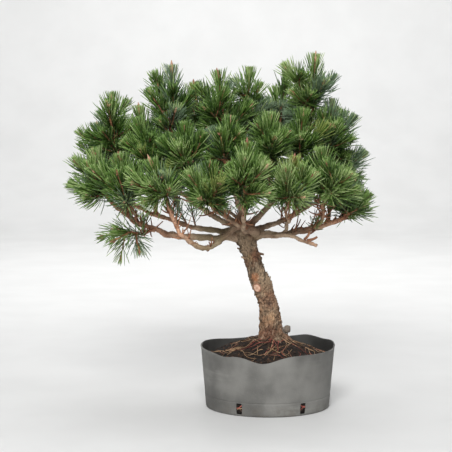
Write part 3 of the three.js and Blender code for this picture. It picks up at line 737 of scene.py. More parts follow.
def potGrid():
    # rings of radius and height from under the pot, round its foot and up the wall, turned through every
    # degree, with the seam, the dents and the waves; by each slot the grid is drawn in to round its corners
    slots = pot["slots"]
    wall = np.concatenate([np.linspace(slots["bottom"], slots["top"], slots["rings"]), pot["bandRings"],
                           np.linspace(pot["wallFrom"], pot["height"], pot["wallRings"])])
    rings = np.concatenate([pot["foot"], np.stack([outerRadius(wall), wall], 1)])
    radius, height = rings[:, :1], rings[:, 1:]
    onWall = height > 1
    degree = np.arange(pot["sides"])
    middle = (slots["bottom"] + slots["top"]) / 2
    half = slots["top"] - middle
    u = fromSlot(degree) / slots["halfWidth"]
    v = (height - middle) / half
    near = 1 - eased(np.maximum(abs(u), abs(v)), 1.0, 1.6)
    turned = u * np.sqrt(1 - 0.22 * near * np.clip(v, -1, 1) ** 2)
    raised = v * np.sqrt(1 - 0.14 * near * np.clip(u, -1, 1) ** 2)
    angle = np.radians(degree) + np.radians(turned - u) * slots["halfWidth"]
    z = height + (raised - v) * half * onWall
    band, top, low = pot["band"], pot["height"], pot["waveFrom"]
    seam = pot["seam"] * np.exp(-((z - band) / pot["seamWidth"]) ** 2)
    seam = seam - pot["bandOut"] * (1 - eased(z, band - 0.4, band))
    rim = pot["lip"] * eased(z, top - pot["lipHeight"], top)
    dents = addLumps(0, polar(pot["rimRadius"], angle, z), pot["dentLumps"])
    dents = pot["dents"] * eased(z, low, top) * dents
    ring = (radius - seam * onWall + rim + dents) * bulge(angle, z)
    wave = np.clip((z - low) / (top - low), 0, None) * rimWave(angle)
    return polar(ring, angle, z + wave)


def inSlot(faces):
    # which of the grid's faces lie in a slot, by the ring and side of their first corner
    ring, side = faces[:, 0] // pot["sides"], faces[:, 0] % pot["sides"]
    turn, first = fromSlot(side), len(pot["foot"])
    tall = (ring >= first) & (ring < first + pot["slots"]["rings"] - 1)
    return tall & (turn >= -pot["slots"]["halfWidth"]) & (turn < pot["slots"]["halfWidth"])


def makePot(finish, inside):
    # the grid without its slots, closed underneath by one face, and then given its wall inwards
    points = potGrid()
    faces = gridFaces(len(points), pot["sides"])
    under = np.arange(pot["sides"])[None, ::-1]
    piece = buildPiece("potShell", points.reshape(-1, 3), [faces[~inSlot(faces)], under], [finish, inside],
                       replaces=["pot"])
    shell = piece.modifiers.new("wall", "SOLIDIFY")
    shell.thickness = pot["wall"] * millimetre
    shell.offset = -1
    # the inner shell takes the second finish, the same grey darkened as painted shade inside the pot
    shell.material_offset = 1
    edge = piece.modifiers.new("softEdge", "BEVEL")
    edge.width = pot["softEdge"] * millimetre
    edge.segments = 2
    edge.limit_method = "ANGLE"
    edge.angle_limit = 1.0


def potFinish(name, shade):
    # clouded grey with drawn-out scuffs, and earth low down, all times the shade: painted shade inside the
    # pot
    finish = Finish(name, pot["grey"], 0.55)
    finish.surface.inputs["Specular IOR Level"].default_value = 0.3
    cloudy = finish.noise(17, 3, 0.5)
    grain = finish.noise(420, 2, 0.6)
    scuffs = finish.noise(7, 4, 0.65, finish.stretched(1, 1, 5)).between(0.52, 0.78)
    # lighter and darker clouds of grey all over the pot
    mottled = finish.mix(cloudy.between(0.3, 0.7), (86, 85, 82), (121, 120, 116))
    speckled = finish.mix(grain.between(0.55, 0.8) * 0.18, mottled, (134, 134, 129))
    scuffed = finish.mix(scuffs * 0.75, speckled, (140, 140, 135))
    low = 1 - finish.height().between(0.001, 0.022)
    earthy = low * finish.noise(60, 4, 0.7).between(0.42, 0.66)
    soiled = finish.mix(earthy * 0.5, scuffed, (84, 78, 70))
    shaded = finish.mix(1, soiled, (shade, shade, shade, 1), "MULTIPLY")
    roughness = 0.5 + cloudy * 0.2 + scuffs * 0.08
    return finish.paint(shaded, roughness, grain * 0.4 + cloudy, 0.0005)


# Soil: a lumpy heap that rises to the trunk, with crumbs, and thin roots that run over it

soil = {
    "edgeHeight": 76, "crownHeight": 100, "crownRadius": 30, "bottom": 3.3,
    "gap": 2.9,  # from the pot's outside to the heap
    "ridges": 1.6, "lumps": [(1.5, 13, 11), (1.1, 5.5, 12), (0.6, 2.4, 13)],
    "sides": 240, "rings": 76,
    "crumbs": 900,
    "crumbSize": (0.8, 2.6),
    "crumbSeed": 41,
    "dryNeedles": 44,
    "dryHalf": (9, 19), "dryRadius": 0.55,  # half the length of one, and its thickest
    "dryWithin": 82, "dryEdge": 91,  # where their middles and ends may be
    "litterSeed": 63,
}

roots = {
    # three kinds: stout ones from the flare, fine ones from beside it, stray ones from anywhere on the heap
    "count": (6, 64, 56),
    "flareBegin": 17, "begin": [(15, 26), (24, 80)],  # how far from the trunk's middle they start
    "reach": [(22, 44), (30, 84), (24, 70)],
    "radius": [(1.0, 1.8), (0.32, 0.66), (0.3, 0.55)],
    "turn": (0.5, 1.4, 3.1),  # how far from straight out they may set off, in radians
    "lift": (5, 2.5, 0),  # height over the heap where they start
    "within": 90,  # how far out they may run
    "rings": 26,
    "toSlot": 4,  # roots that show in each slot of the pot
    "shares": (0.27, 0.13, 0.6), "slotShares": (0.2, 0.6, 0.2),  # how many are straw, red and dark
    "seed": 57,
}


def heapEdge(height):
    # the radius at which the heap meets the pot
    return outerRadius(height) - soil["gap"]


def heapHeight(radius, angle):
    # the crown's height inside its radius, then down to the edge by the 0.8th power, with five ridges that
    # wind out from it and lumps of three sizes
    crownRadius, crownHeight, edgeHeight = soil["crownRadius"], soil["crownHeight"], soil["edgeHeight"]
    share = np.clip((radius - crownRadius) / (heapEdge(edgeHeight) - crownRadius), 0, 1.1)
    height = crownHeight + (edgeHeight - crownHeight) * share ** 0.8
    ridges = soil["ridges"] * np.sin(5 * angle + radius / 9) * eased(radius, 30, 45)
    return height + addLumps(ridges, polar(radius, angle, 0.0), soil["lumps"]) * eased(radius, 4, 16)


def makeSoil(finish):
    # rings from the middle of the underside out, up the side, and in over the heap, turned all round
    bottom = soil["bottom"]
    low = heapEdge(bottom)
    under = np.array([(20, bottom), (60, bottom), (low, bottom), (low + 2, 28), (low + 4, 55)])
    over = np.linspace(heapEdge(soil["edgeHeight"]), 4, soil["rings"])
    angle = fullTurn(soil["sides"])
    radius = np.concatenate([under[:, 0], over])[:, None] + 0 * angle
    height = heapHeight(radius, angle + 0 * radius)
    height[:len(under)] = under[:, 1:]
    points = polar(radius * bulge(angle, height), angle, height)
    buildPiece("soilHeap", points.reshape(-1, 3), closedFaces(*radius.shape), [finish],
               replaces=["soil"])


def makeCrumbs(finishes):
    # small uneven balls strewn over the heap, stretched, and pushed in and out at every corner
    random = np.random.default_rng(soil["crumbSeed"])
    count = soil["crumbs"]
    rings = sides = 5
    radius = np.sqrt(random.uniform(0.07, 0.98, count)) * pot["footRadius"]
    angle = random.uniform(0, 2 * np.pi, count)
    low, high = soil["crumbSize"]
    size = low + (high - low) * random.random(count) ** 3
    middle = polar(radius, angle, heapHeight(radius, angle) + size * 0.25)
    stretch = random.uniform(0.6, 1.4, (count, 1, 1, 3)) * [1, 1, 0.7]
    push = random.uniform(0.75, 1.2, (count, rings, sides, 1))
    shape = ballGrid(rings, sides, 0.42) * stretch * push
    points = middle[:, None, None] + shape * size[:, None, None, None]
    kinds = np.arange(count) % len(finishes)
    buildPiece("soilCrumbs", points.reshape(-1, 3), closedFaces(rings, sides, count), finishes,
               dealtFaces(kinds, rings, sides))


def heapRoots(random):
    # each root leaves the flare or the heap, wanders over it half sunk, and dives at its end
    kind = np.repeat([0, 1, 2], roots["count"])[:, None]
    count, rings = len(kind), roots["rings"]
    share = np.linspace(0, 1, rings)[None, :]
    evenly = np.arange(count)[:, None] / roots["count"][0] * 2 * np.pi + 0.3
    bearing = np.where(kind == 0, evenly, drawn(random, 0, 2 * np.pi, count))
    begins = [drawn(random, low, high, count) for low, high in roots["begin"]]
    begin = np.choose(kind, [roots["flareBegin"] + 0 * bearing] + begins)
    reach = np.choose(kind, [drawn(random, low, high, count) for low, high in roots["reach"]])
    thick = np.choose(kind, [drawn(random, low, high, count) for low, high in roots["radius"]])
    heading = bearing + drawn(random, -1, 1, count) * np.choose(kind, roots["turn"])
    veer = drawn(random, -3.2, 3.2, count) * share
    veer = veer + 0.45 * np.sin(share * drawn(random, 5, 14, count) + drawn(random, 0, 6, count))
    step = reach / (rings - 1)
    x = trunk["rings"][0][1] + begin * np.cos(bearing) + np.cumsum(step * np.cos(heading + veer), 1)
    y = begin * np.sin(bearing) + np.cumsum(step * np.sin(heading + veer), 1)
    away = np.hypot(x, y)
    inside = np.minimum(away, roots["within"]) / away
    x, y, away = x * inside, y * inside, away * inside
    height = heapHeight(away, np.arctan2(y, x))
    padded = np.pad(height, ((0, 0), (2, 2)), mode="edge")
    height = sum(padded[:, shift:shift + rings] * weight
                 for shift, weight in enumerate((0.1, 0.2, 0.4, 0.2, 0.1)))
    height = height + thick * (0.9 - 3 * eased(share, 0.86, 1))
    height = height + np.choose(kind, roots["lift"]) * (1 - eased(share, 0, 0.28))
    height = height + np.where(kind == 2, -2 * thick * (1 - eased(share, 0, 0.15)), 0)
    lifted = drawn(random, -0.2, 3.2, count) * np.sin(np.pi * share) * (kind > 0)
    paths = np.stack([x, y, height + np.clip(lifted, 0, None)], -1)
    return paths, thick * (1 - 0.66 * share)


def slotRoots(random):
    # short roots that curl past each slot of the pot, just inside its wall
    slots = pot["slots"]["first"] + slotSpacing * np.arange(pot["slots"]["count"])
    bearing = np.repeat(slots, roots["toSlot"])[:, None]
    count = len(bearing)
    shift = random.uniform(-2.6, 2.6, (count, 2))
    run = np.linspace(-1, 1, 8)[None, :]
    turn = np.radians(bearing + shift[:, :1] + run * drawn(random, 2, 4.6, count))
    rise = drawn(random, 5.5, 16.5, count) + 2 * shift[:, 1:] * run
    rise = rise + np.sin(3 * run + bearing)
    inner = outerRadius(rise) - 2.5 + 0.4 * np.cos(4 * run)
    return polar(inner, turn, rise), drawn(random, 0.4, 0.8, count) + 0 * run


def makeRoots(finishes):
    # the roots over the heap and those in the slots as round bars, straw, red or dark by chance
    random = np.random.default_rng(roots["seed"])
    sides = 6
    laid = [heapRoots(random), slotRoots(random)]
    points, faces = joined([tubes(paths, radii, sides) for paths, radii in laid])
    dealt = [dealtFaces(random.choice(len(finishes), len(paths), p=shares), paths.shape[1], sides)
             for (paths, _), shares in zip(laid, (roots["shares"], roots["slotShares"]))]
    buildPiece("surfaceRoots", points, faces, finishes, np.concatenate(dealt))


def makeLitter(finishes):
    # fallen dry needles: slightly bowed bars that lie across the lumps of the heap
    random = np.random.default_rng(soil["litterSeed"])
    count = soil["dryNeedles"]
    profile = np.array([0.7, 1, 1, 1, 0.8, 0.3])
    rings, sides = len(profile), 4
    radius = np.sqrt(random.uniform(0.1, 0.95, count)) * soil["dryWithin"]
    angle = random.uniform(0, 2 * np.pi, count)
    turn = random.uniform(0, 2 * np.pi, count)
    half = drawn(random, *soil["dryHalf"], count) * np.linspace(-1, 1, rings)
    x = 4 + (radius * np.cos(angle))[:, None] + half * np.cos(turn)[:, None]
    y = (radius * np.sin(angle))[:, None] + half * np.sin(turn)[:, None] + 0.004 * half ** 2
    away = np.hypot(x, y)
    inside = np.minimum(away, soil["dryEdge"]) / away
    height = heapHeight(away * inside, np.arctan2(y, x))
    tilt = (height[:, -1:] - height[:, :1]) * np.linspace(-0.5, 0.5, rings)
    resting = height.mean(1, keepdims=True) + tilt + drawn(random, 0.6, 1.8, count)
    paths = np.stack([x * inside, y * inside, resting], -1)
    points, faces = tubes(paths, soil["dryRadius"] * profile + np.zeros((count, 1)), sides)
    kinds = np.arange(count) % len(finishes)
    buildPiece("dryNeedles", points, faces, finishes, dealtFaces(kinds, rings, sides))


def soilFinish():
    # black and dark brown in broad clouds, flecked with paler crumbs
    finish = Finish("soilEarth", (58, 42, 31), 0.95)
    broad = finish.noise(38, 5, 0.65)
    fine = finish.noise(330, 4, 0.7)
    damp = finish.mix(broad.between(0.35, 0.68), (14, 9, 6), (40, 27, 18))
    flecked = finish.mix(fine.between(0.64, 0.76) * 0.7, damp, (84, 60, 42))
    dark = finish.mix(fine.between(0.28, 0.42), (12, 8, 6), flecked)
    return finish.paint(dark, 0.88 + fine * 0.1, fine + broad, 0.0014)


def crumbFinish(name, colour):
    # one colour, grained with a lighter one
    finish = Finish(name, colour, 0.9)
    grain = finish.noise(600, 3, 0.6)
    lighter = tuple(min(1, value * 1.7) for value in screenColour(colour))
    pale = finish.mix(grain.between(0.35, 0.75), colour, lighter)
    return finish.paint(pale, 0.85 + grain * 0.1, grain, 0.0005)


def rootFinish(name, dark, light):
    # dark and light in streaks, worn to earth brown here and there
    finish = Finish(name, light, 0.75)
    streaks = finish.noise(90, 4, 0.6)
    fine = finish.noise(500, 3, 0.6)
    skin = finish.mix(streaks.between(0.35, 0.65), dark, light)
    worn = finish.mix(fine.between(0.6, 0.8) * 0.6, skin, (60, 44, 34))
    return finish.paint(worn, 0.65 + fine * 0.2, fine + streaks, 0.0006)


# the inside is the outside's grey at 0.32 of its brightness, as painted shade
makePot(potFinish("potOutside", 1), potFinish("potInsidePaintedShade", 0.32))
makeSoil(soilFinish())
makeCrumbs([crumbFinish("crumbDark", (24, 16, 11)), crumbFinish("crumbBrown", (38, 26, 18)),
            crumbFinish("crumbBark", (68, 47, 33))])
makeLitter([rootFinish("litterStraw", (132, 102, 72), (184, 152, 116)),
            rootFinish("litterRed", (110, 72, 56), (158, 112, 90))])
makeRoots([rootFinish("rootStraw", (128, 98, 70), (190, 158, 124)),
           rootFinish("rootRed", (112, 50, 42), (170, 92, 80)),
           rootFinish("rootDark", (36, 25, 18), (72, 52, 37))])
print("pot and soil made")

# Trunk

trunkBark = {
    "cap": (279, -36, 0, 1.5),  # height, place and radius of the bark's top, inside the fork
    "foot": 98.5,  # where the bark starts, in the soil
    "step": 1.3, "sides": 132,
    "flare": 0.16, "flareHeight": 16,  # how deep the root flare's ridges are, and how high they go
    "burrs": [(-40, -4, 235, 4), (-8, -1, 226, 3.5), (-17, -14, 150, 2.5), (14, -8, 163, 3)],
    "knob": ((29.5, -7, 117.5), 5.2),
    # a cut branch's flat scar: the trunk's axis there, a point that it faces, the trunk's radius, and the
    # middle of its colour
    "scar": {"axis": (-8.5, -2, 181), "towards": (-15, -15, 181), "radius": 15.5,
             "seen": (-17.2, -19.3, 181)},
    "plate": 6.4,  # size of a scale of bark
    "crack": 1.3,  # depth of the cracks between scales
    "lumps": [(1.1, 11, 26), (0.5, 4, 29), (0.3, 2.6, 27)],  # height, size and seed of the bark's noise
    "knobLumps": [(0.09, 4.5, 61), (0.05, 1.8, 62)],
    "flakes": 1100,
    "flakesClear": 9,  # how far they stay from the scar
    "flakeSeed": 91,
    # short dead spurs: foot, point and radius
    "spurs": [((-36, -3, 235), (-46, -5, 240), 2.6), ((-33, -6, 224), (-40, -8, 227), 2.0),
              ((-15, -3, 232), (-6, -4, 230), 2.4), ((-14, -2, 198), (0, -3, 201), 1.7),
              ((14, -6, 128), (21, -8, 131), 1.6), ((-29, -5, 210), (-33, -7, 213), 2.2)],
    # worn and stained patches of bark: middle, size, colour
    "patches": [((7, -16, 138), 9, (184, 150, 116)), ((-20, -17, 197), 10, (158, 102, 64)),
                ((3, -16, 157), 6, (58, 38, 28)), ((-29, -13, 226), 8, (146, 120, 86)),
                ((2, -17, 112), 15, (104, 68, 50)), ((-9, -19, 170), 7, (168, 144, 116))],
}


def bell(width):
    # weights of so many neighbours, one full at the middle and none at the ends, that add up to 1
    return np.hanning(width) / np.hanning(width).sum()


def trunkLine(height):
    # the axis, right and back, and the radius at each height: straight from ring to ring, then the mean of
    # each stretch of 11 mm by the bell's weights
    rings = np.array(trunk["rings"] + [trunkBark["cap"]], float)
    steps = np.arange(85, 295, 1.0)
    lines = []
    for column in (1, 2, 3):
        straight = np.interp(steps, rings[:, 0], rings[:, column])
        lines.append(np.interp(height, steps[5:-5], np.convolve(straight, bell(11), "valid")))
    return lines


def trunkSkin():
    # rings up the axis, each a circle pushed out by the flare's five ridges, and which way is out
    height = np.arange(trunkBark["foot"], trunkBark["cap"][0] + 0.1, trunkBark["step"])
    x, y, radius = [line[:, None] for line in trunkLine(height)]
    z = height[:, None]
    angle = fullTurn(trunkBark["sides"])
    above = np.clip(z - trunk["rings"][0][0], 0, None)
    flare = trunkBark["flare"] * np.exp(-above / trunkBark["flareHeight"])
    ridge = 1 + flare * np.cos(5 * angle) + 0.04 * np.sin(3 * angle + z / 7)
    out = polar(1.0, angle + 0 * z, 0.0)
    axis = np.stack(np.broadcast_arrays(x, y, z + 0 * angle), -1)
    return axis + out * (radius * ridge)[..., None], out


def scarMiddle():
    # from the trunk's axis out to its skin, towards the side that the scar faces
    scar = trunkBark["scar"]
    axis = np.array(scar["axis"])
    return axis + unit(np.array(scar["towards"]) - axis) * scar["radius"]


def barkRelief(skin):
    # how far the bark stands out: scales with cracks between, flakes half their size and lumps of three
    # sizes, but flat on the scar, with a lip round it, and swollen over each burr
    twisted = skin * [1, 1, 0.62] + 2.2 * lumpVectors(skin, 9, 21)
    scale = eased(plates(twisted, trunkBark["plate"], 24), 0.0, 0.5)
    flake = eased(plates(twisted, trunkBark["plate"] * 0.5, 25), 0.0, 0.5)
    worn = eased(lumps(skin, 17, 28), -0.5, 0.4)
    relief = trunkBark["crack"] * (scale - 0.6) * (0.45 + 0.55 * worn) + 0.5 * (flake - 0.5)
    relief = addLumps(relief, skin, trunkBark["lumps"])
    away = np.linalg.norm(skin - scarMiddle(), axis=-1)
    lip = 3.0 * (1 - eased(away, 5.8, 10.5)) + 0.9 * np.exp(-((away - 6.2) / 1.1) ** 2)
    relief = relief * eased(away, 5.4, 8.5) + lip
    for *burr, size in trunkBark["burrs"]:
        spread = np.linalg.norm((skin - burr) * [1, 1, 0.9], axis=-1)
        relief = relief + size * 0.75 * (1 - eased(spread, size * 0.35, size * 1.7))
    return relief * eased(trunkBark["cap"][0] - skin[..., 2], 0, 8)


def deadSpurs():
    # tapering bars from foot to point, a little lumpy
    foot, point, size = [np.array(column, float) for column in zip(*trunkBark["spurs"])]
    share = np.linspace(0, 1, 7)
    paths = foot[:, None] + (point - foot)[:, None] * share[:, None]
    return tubes(paths, size[:, None] * (1 - 0.45 * share) * (1 + 0.25 * lumps(paths, 2.5, 65)), 9)


def barkFlakes(skin, out):
    # small five-sided scales on the trunk's grid of skin points, their upper or lower ends lifted off it
    random = np.random.default_rng(trunkBark["flakeSeed"])
    count, sides = trunkBark["flakes"], 5
    row = random.integers(6, len(skin) - 14, count)
    column = random.integers(0, trunkBark["sides"], count)
    middle, away = skin[row, column], out[row, column]
    aside = unit(np.cross(up, away))
    upward = unit(np.cross(away, aside))
    wide = drawn(random, 1.2, 2.8, count) * random.uniform(0.8, 1.15, (count, sides))
    tall = drawn(random, 1.8, 4.6, count) * random.uniform(0.8, 1.15, (count, sides))
    u, v = wide * np.cos(fullTurn(sides)), tall * np.sin(fullTurn(sides))
    lift = drawn(random, 0.15, 1.1, count) * (v / 3.2) * random.choice((1, 1, -1), (count, 1))
    face = middle[:, None] + aside[:, None] * u[..., None] + upward[:, None] * v[..., None]
    low = face + away[:, None] * (lift - 0.9)[..., None]
    high = face + away[:, None] * (lift + 0.5)[..., None]
    flakes = np.stack([low, high], 1)
    clear = np.linalg.norm(flakes.mean((1, 2)) - scarMiddle(), axis=-1) > trunkBark["flakesClear"]
    return flakes[clear].reshape(-1, 3), closedFaces(2, sides, clear.sum())


def knobBall(centre, size):
    # a ball with a lumpy skin: circles from pole to pole, pushed out by noise
    rings, sides = 26, 30
    ball = ballGrid(rings, sides, 0.49)
    push = addLumps(1, ball * size, trunkBark["knobLumps"])
    points = np.array(centre) + ball * [1.0, 0.9, 1.15] * (push * size)[..., None]
    return points.reshape(-1, 3), closedFaces(rings, sides)


def makeTrunk(finish):
    # the skin pushed out by the bark's relief, with the knob, the dead spurs and loose flakes
    skin, out = trunkSkin()
    points = skin + out * barkRelief(skin)[..., None]
    bark = (points.reshape(-1, 3), closedFaces(*points.shape[:2]))
    points, faces = joined([bark, knobBall(*trunkBark["knob"]), deadSpurs(), barkFlakes(points, out)])
    buildPiece("trunkBark", points, faces, [finish], replaces=["trunk"])


def trunkFinish():
    # grey and tan clouds, orange low down, ruddy in places, a paler tan low down as painted light, with the
    # patches laid on; then worn spots, dark cracks round the scales, the grey knob and the scar with its
    # rim
    finish = Finish("trunkBark", (112, 92, 76), 0.9)
    drawnOut = finish.stretched(1, 1, 0.5)
    broad = finish.noise(24, 5, 0.65, drawnOut)
    fine = finish.noise(260, 5, 0.65, drawnOut)
    scales = finish.node("ShaderNodeTexVoronoi", {"feature": "DISTANCE_TO_EDGE"},
                         {"Vector": drawnOut, "Scale": 230, "Randomness": 1})
    grey = finish.mix(broad.between(0.4, 0.6), (84, 67, 49), (156, 134, 108))
    height = finish.height()
    lowHalf = height.between(0.1, 0.14) * (1 - height.between(0.14, 0.2))
    warm = finish.mix(lowHalf * finish.noise(52, 4, 0.6).between(0.4, 0.6), grey, (152, 112, 80))
    ruddy = finish.mix(finish.noise(21, 3, 0.5).between(0.5, 0.64) * 0.75, warm, (128, 86, 62))
    # painted light: the low part of the trunk is lightened 40% towards a pale tan
    bark = finish.mix(lowHalf * 0.4, ruddy, (156, 128, 102))
    for middle, size, colour in trunkBark["patches"]:
        ragged = finish.distance(middle) + finish.noise(130, 4, 0.7) * 0.008 - 0.004
        bark = finish.mix(0.7 - 0.7 * ragged.between(size * 0.0004, size * 0.001), bark, colour)
    worn = finish.mix(fine.between(0.52, 0.7) * 0.65, bark, (184, 162, 138))
    cracked = finish.mix(scales.between(0.0, 0.06) * 0.35 + 0.65, (50, 36, 28), worn)
    shaded = finish.mix(fine.between(0.3, 0.46), (44, 32, 25), cracked)
    knob = 1 - finish.distance(trunkBark["knob"][0]).between(0.0075, 0.0095)
    dark = finish.mix(knob * 0.8, shaded, (122, 114, 104))
    scar = finish.distance(trunkBark["scar"]["seen"])
    grain = finish.noise(240, 3, 0.6).between(0.3, 0.7)
    pale = finish.mix(grain, (196, 152, 128), (216, 184, 160))
    cut = finish.mix(scar.between(0.0046, 0.0064), pale, (138, 92, 70))
    scarred = finish.mix(1 - scar.between(0.0062, 0.0076), dark, cut)
    return finish.paint(scarred, 0.8 + fine * 0.15, scales.between(0.0, 0.12) * 0.5 + fine, 0.0014)


makeTrunk(trunkFinish())

# Boughs

bough = {
    "rings": 72, "sides": 12,
    "wander": 4.2,  # how far a bough strays from its smooth line
    "thin": 0.95,  # its radius as a share of the limb's
    "collar": 0.55,  # how much thicker it is where it leaves the trunk
    "inTrunk": 15, "collarRun": 9,  # how far it is hidden in the trunk, and how soon the collar thins out
    "branchCollar": 0.7, "branchRun": 5,  # the collar on another bough, as a share, and how soon it ends
    "plate": 4.2, "crack": 0.75,  # size of a scale of bark, and depth of the cracks
    "knuckles": [(0.18, 9, 34), (0.13, 3.6, 35)],  # as shares of the radius
    "lumps": [(0.45, 3, 37)],
    # a bough that leaves the trunk at the right, loops over its front, and joins its curve at this share
    "loops": {"low_left": (0.36, [(-17, -7, 262), (-28, -17, 270), (-42, -22, 274), (-55, -26, 269),
                                  (-65, -31, 258), (-77, -39, 249)])},
    "fork": (-38, -10, 277),  # where the bark is redder
}


def smoothed(values, width):
    # the mean of each value's neighbours by the bell's weights, with the ends carried straight on
    padded = np.pad(values, width // 2, mode="reflect", reflect_type="odd")
    return np.convolve(padded, bell(width), "valid")


def loopedPath(curve, joins, points, rings):
    # through the given points and on along the curve, in even steps
    knots = np.concatenate([points, along(curve, np.linspace(joins, 1, 40))])
    run = np.concatenate([[0], np.linalg.norm(np.diff(knots, axis=0), axis=-1).cumsum()])
    even = np.linspace(0, run[-1], rings)
    return np.stack([smoothed(np.interp(even, run, knots[:, axis]), 9) for axis in range(3)], -1)


def makeBoughs(finish):
    # round bars along the limbs' curves, with a collar at the root and uneven, knuckled skin
    names = list(curves)
    share = np.linspace(0, 1, bough["rings"])
    paths = np.stack([along(curves[name], share) for name in names])
    for name, (joins, points) in bough["loops"].items():
        paths[names.index(name)] = loopedPath(curves[name], joins, points, bough["rings"])
    girth = np.array([(limbs[name]["root"], limbs[name]["tip"]) for name in names])
    fromTrunk = np.array([limbs[name]["parent"] == "trunk" for name in names])[:, None]
    strayed = lumpVectors(paths, 26, 31) + 0.4 * lumpVectors(paths, 11, 31)
    ends = eased(share, 0, 0.15) * (1 - eased(share, 0.85, 1))
    paths = paths + strayed * bough["wander"] * ends[None, :, None]
    run = np.linalg.norm(np.diff(paths, axis=1), axis=-1).cumsum(1)
    run = np.concatenate([np.zeros((len(names), 1)), run], 1)
    radius = bough["thin"] * (girth[:, :1] + (girth[:, 1:] - girth[:, :1]) * share)
    shown = np.clip(run - bough["inTrunk"], 0, None)
    onTrunk = np.exp(-(shown / bough["collarRun"]) ** 1.5)
    onBranch = np.exp(-run / bough["branchRun"]) * bough["branchCollar"]
    collar = np.where(fromTrunk, onTrunk, onBranch)
    radius = radius * (1 + bough["collar"] * collar)
    knuckle = addLumps(0, paths, bough["knuckles"])
    skin = paths[:, :, None] + sections(paths, bough["sides"]) * radius[:, :, None, None]
    scale = eased(plates(skin, bough["plate"], 36), 0, 0.35)
    radii = radius[:, :, None] * (1 + knuckle[:, :, None]) + bough["crack"] * (scale - 0.7)
    points, faces = tubes(paths, addLumps(radii, skin, bough["lumps"]), bough["sides"])
    replaced = ["bough_" + name for name in names]
    buildPiece("boughBark", points, faces, [finish], replaces=replaced)
    return paths


def boughFinish():
    # tan and olive bark, scaly and worn, rusty where it is young, far from the fork, and reddish on it
    finish = Finish("boughBark", (146, 118, 92), 0.8)
    broad = finish.noise(45, 4, 0.6)
    fine = finish.noise(420, 4, 0.65)
    tan = finish.mix(broad.between(0.35, 0.65), (128, 102, 80), (186, 162, 136))
    olive = finish.mix(finish.noise(16, 2, 0.5).between(0.48, 0.66) * 0.6, tan, (132, 122, 90))
    scaly = finish.mix(fine.between(0.3, 0.46), (64, 44, 34), olive)
    worn = finish.mix(fine.between(0.62, 0.78) * 0.5, scaly, (190, 166, 140))
    young = finish.distance((-36, 0, 290)).between(0.07, 0.18)
    rusty = finish.mix(fine.between(0.34, 0.58), (122, 72, 52), (196, 138, 106))
    aged = finish.mix(young * 0.9, worn, rusty)
    fork = finish.distance(bough["fork"]).between(0.012, 0.03)
    reddened = finish.mix(fork * 0.6 + 0.4, (112, 72, 54), aged)
    return finish.paint(reddened, 0.72 + fine * 0.2, fine * 0.8 + broad, 0.0008)


boughPaths = makeBoughs(boughFinish())
print("trunk and boughs made")

# Twigs: the stems, the twigs of every shoot, and bare twiglets on the boughs

twig = {
    "shoots": {"planned": (2.3, 1.2), "finer": (1.5, 0.8), "skirt": (1.5, 0.8)},  # radius at foot and tip
    # where the rings of a shoot are on its twig and then on its green length, and how far each may bend
    "onTwig": [0, 0.25, 0.5, 0.75, 1.0], "onGreen": [0.12, 0.3, 0.5, 0.72, 0.92],
    "bend": 0.8, "bends": [0, 1, 1, 1, 0.5, 0.4, 0.4, 0.3, 0.2, 0],
    "prongs": [(8, -3, 13), (15, 3, 5)],  # of the stub's fork, from where each leaves it
    "prongRadii": (2.2, 2.3),
    "twiglets": 15,  # bare side twigs on each bough, times the next where it is bushy
    "bushy": {"right": 3, "right_high": 2, "right_up": 2, "back_right": 2, "low_left": 2, "stub": 0},
    "stubby": 0.45,  # the share of them that is short
    "stubbyLength": (4, 9), "length": (10, 34),
    "stubbyRadius": (1.2, 2.1), "radius": (0.9, 1.8),
    "seed": 71,
}

groups = {
    "Left": ["left", "left_up", "left_front", "left_low", "low_left", "back_left"],
    "Top": ["mid_left", "up_left", "up_left_front", "up_centre", "up_centre_front", "top_back"],
    "Front": ["front", "front_left", "right_in", "up_right", "up_right_front", "right_up"],
    "Right": ["right", "right_high", "back_right", "up_right_top", "up_right_out"],
    "Back": ["back", "back_rear", "back_high", "back_right_high", "back_left_up"],
}


def gather(chosen, kind):
    # one kind of shoot of the chosen masses as whole arrays, with each one's mass and whether it leads it
    rows = [(mass, spray) for mass in chosen for spray in mass[kind]]
    keys = ("from", "foot", "direction", "tip")
    sprays = {key: np.array([spray[key] for _, spray in rows]) for key in keys}
    sprays["order"] = np.array([mass["order"] for mass, _ in rows])
    sprays["leads"] = np.array([spray is mass["planned"][0] for mass, spray in rows])
    return sprays


def shootPaths(sprays):
    # from the stem to the twig's end and on up the shoot, with a slight bend in each stretch
    start, foot, tip = [sprays[key][:, None] for key in ("from", "foot", "tip")]
    low = start + (foot - start) * np.array(twig["onTwig"])[:, None]
    green = foot + (tip - foot) * np.array(twig["onGreen"])[:, None]
    paths = np.concatenate([low, green], 1)
    return paths + lumpVectors(paths, 9, 45) * twig["bend"] * np.array(twig["bends"])[:, None]


def stemTubes():
    # the masses' stems, which start 4 mm inside their boughs and taper
    stems = np.stack([along(mass["stem"], np.linspace(0, 1, 12)) for mass in masses])
    heading = unit(stems[:, 1] - stems[:, 0])
    stems = np.concatenate([(stems[:, 0] - heading * 4)[:, None], stems], 1)
    girth = np.array([mass["girth"] for mass in masses])[:, None]
    return tubes(stems, girth * (1.05 - 0.3 * np.linspace(0, 1, 13)) * (1 + 0.12 * lumps(stems, 5, 44)), 8)


def shootTubes(kind):
    # the twigs and shoots of one kind, which taper evenly
    root, tip = twig["shoots"][kind]
    paths = shootPaths(gather(masses, kind))
    taper = root + (tip - root) * np.linspace(0, 1, paths.shape[1])
    return tubes(paths, taper * (1 + 0.18 * lumps(paths, 4, 48)), 5)


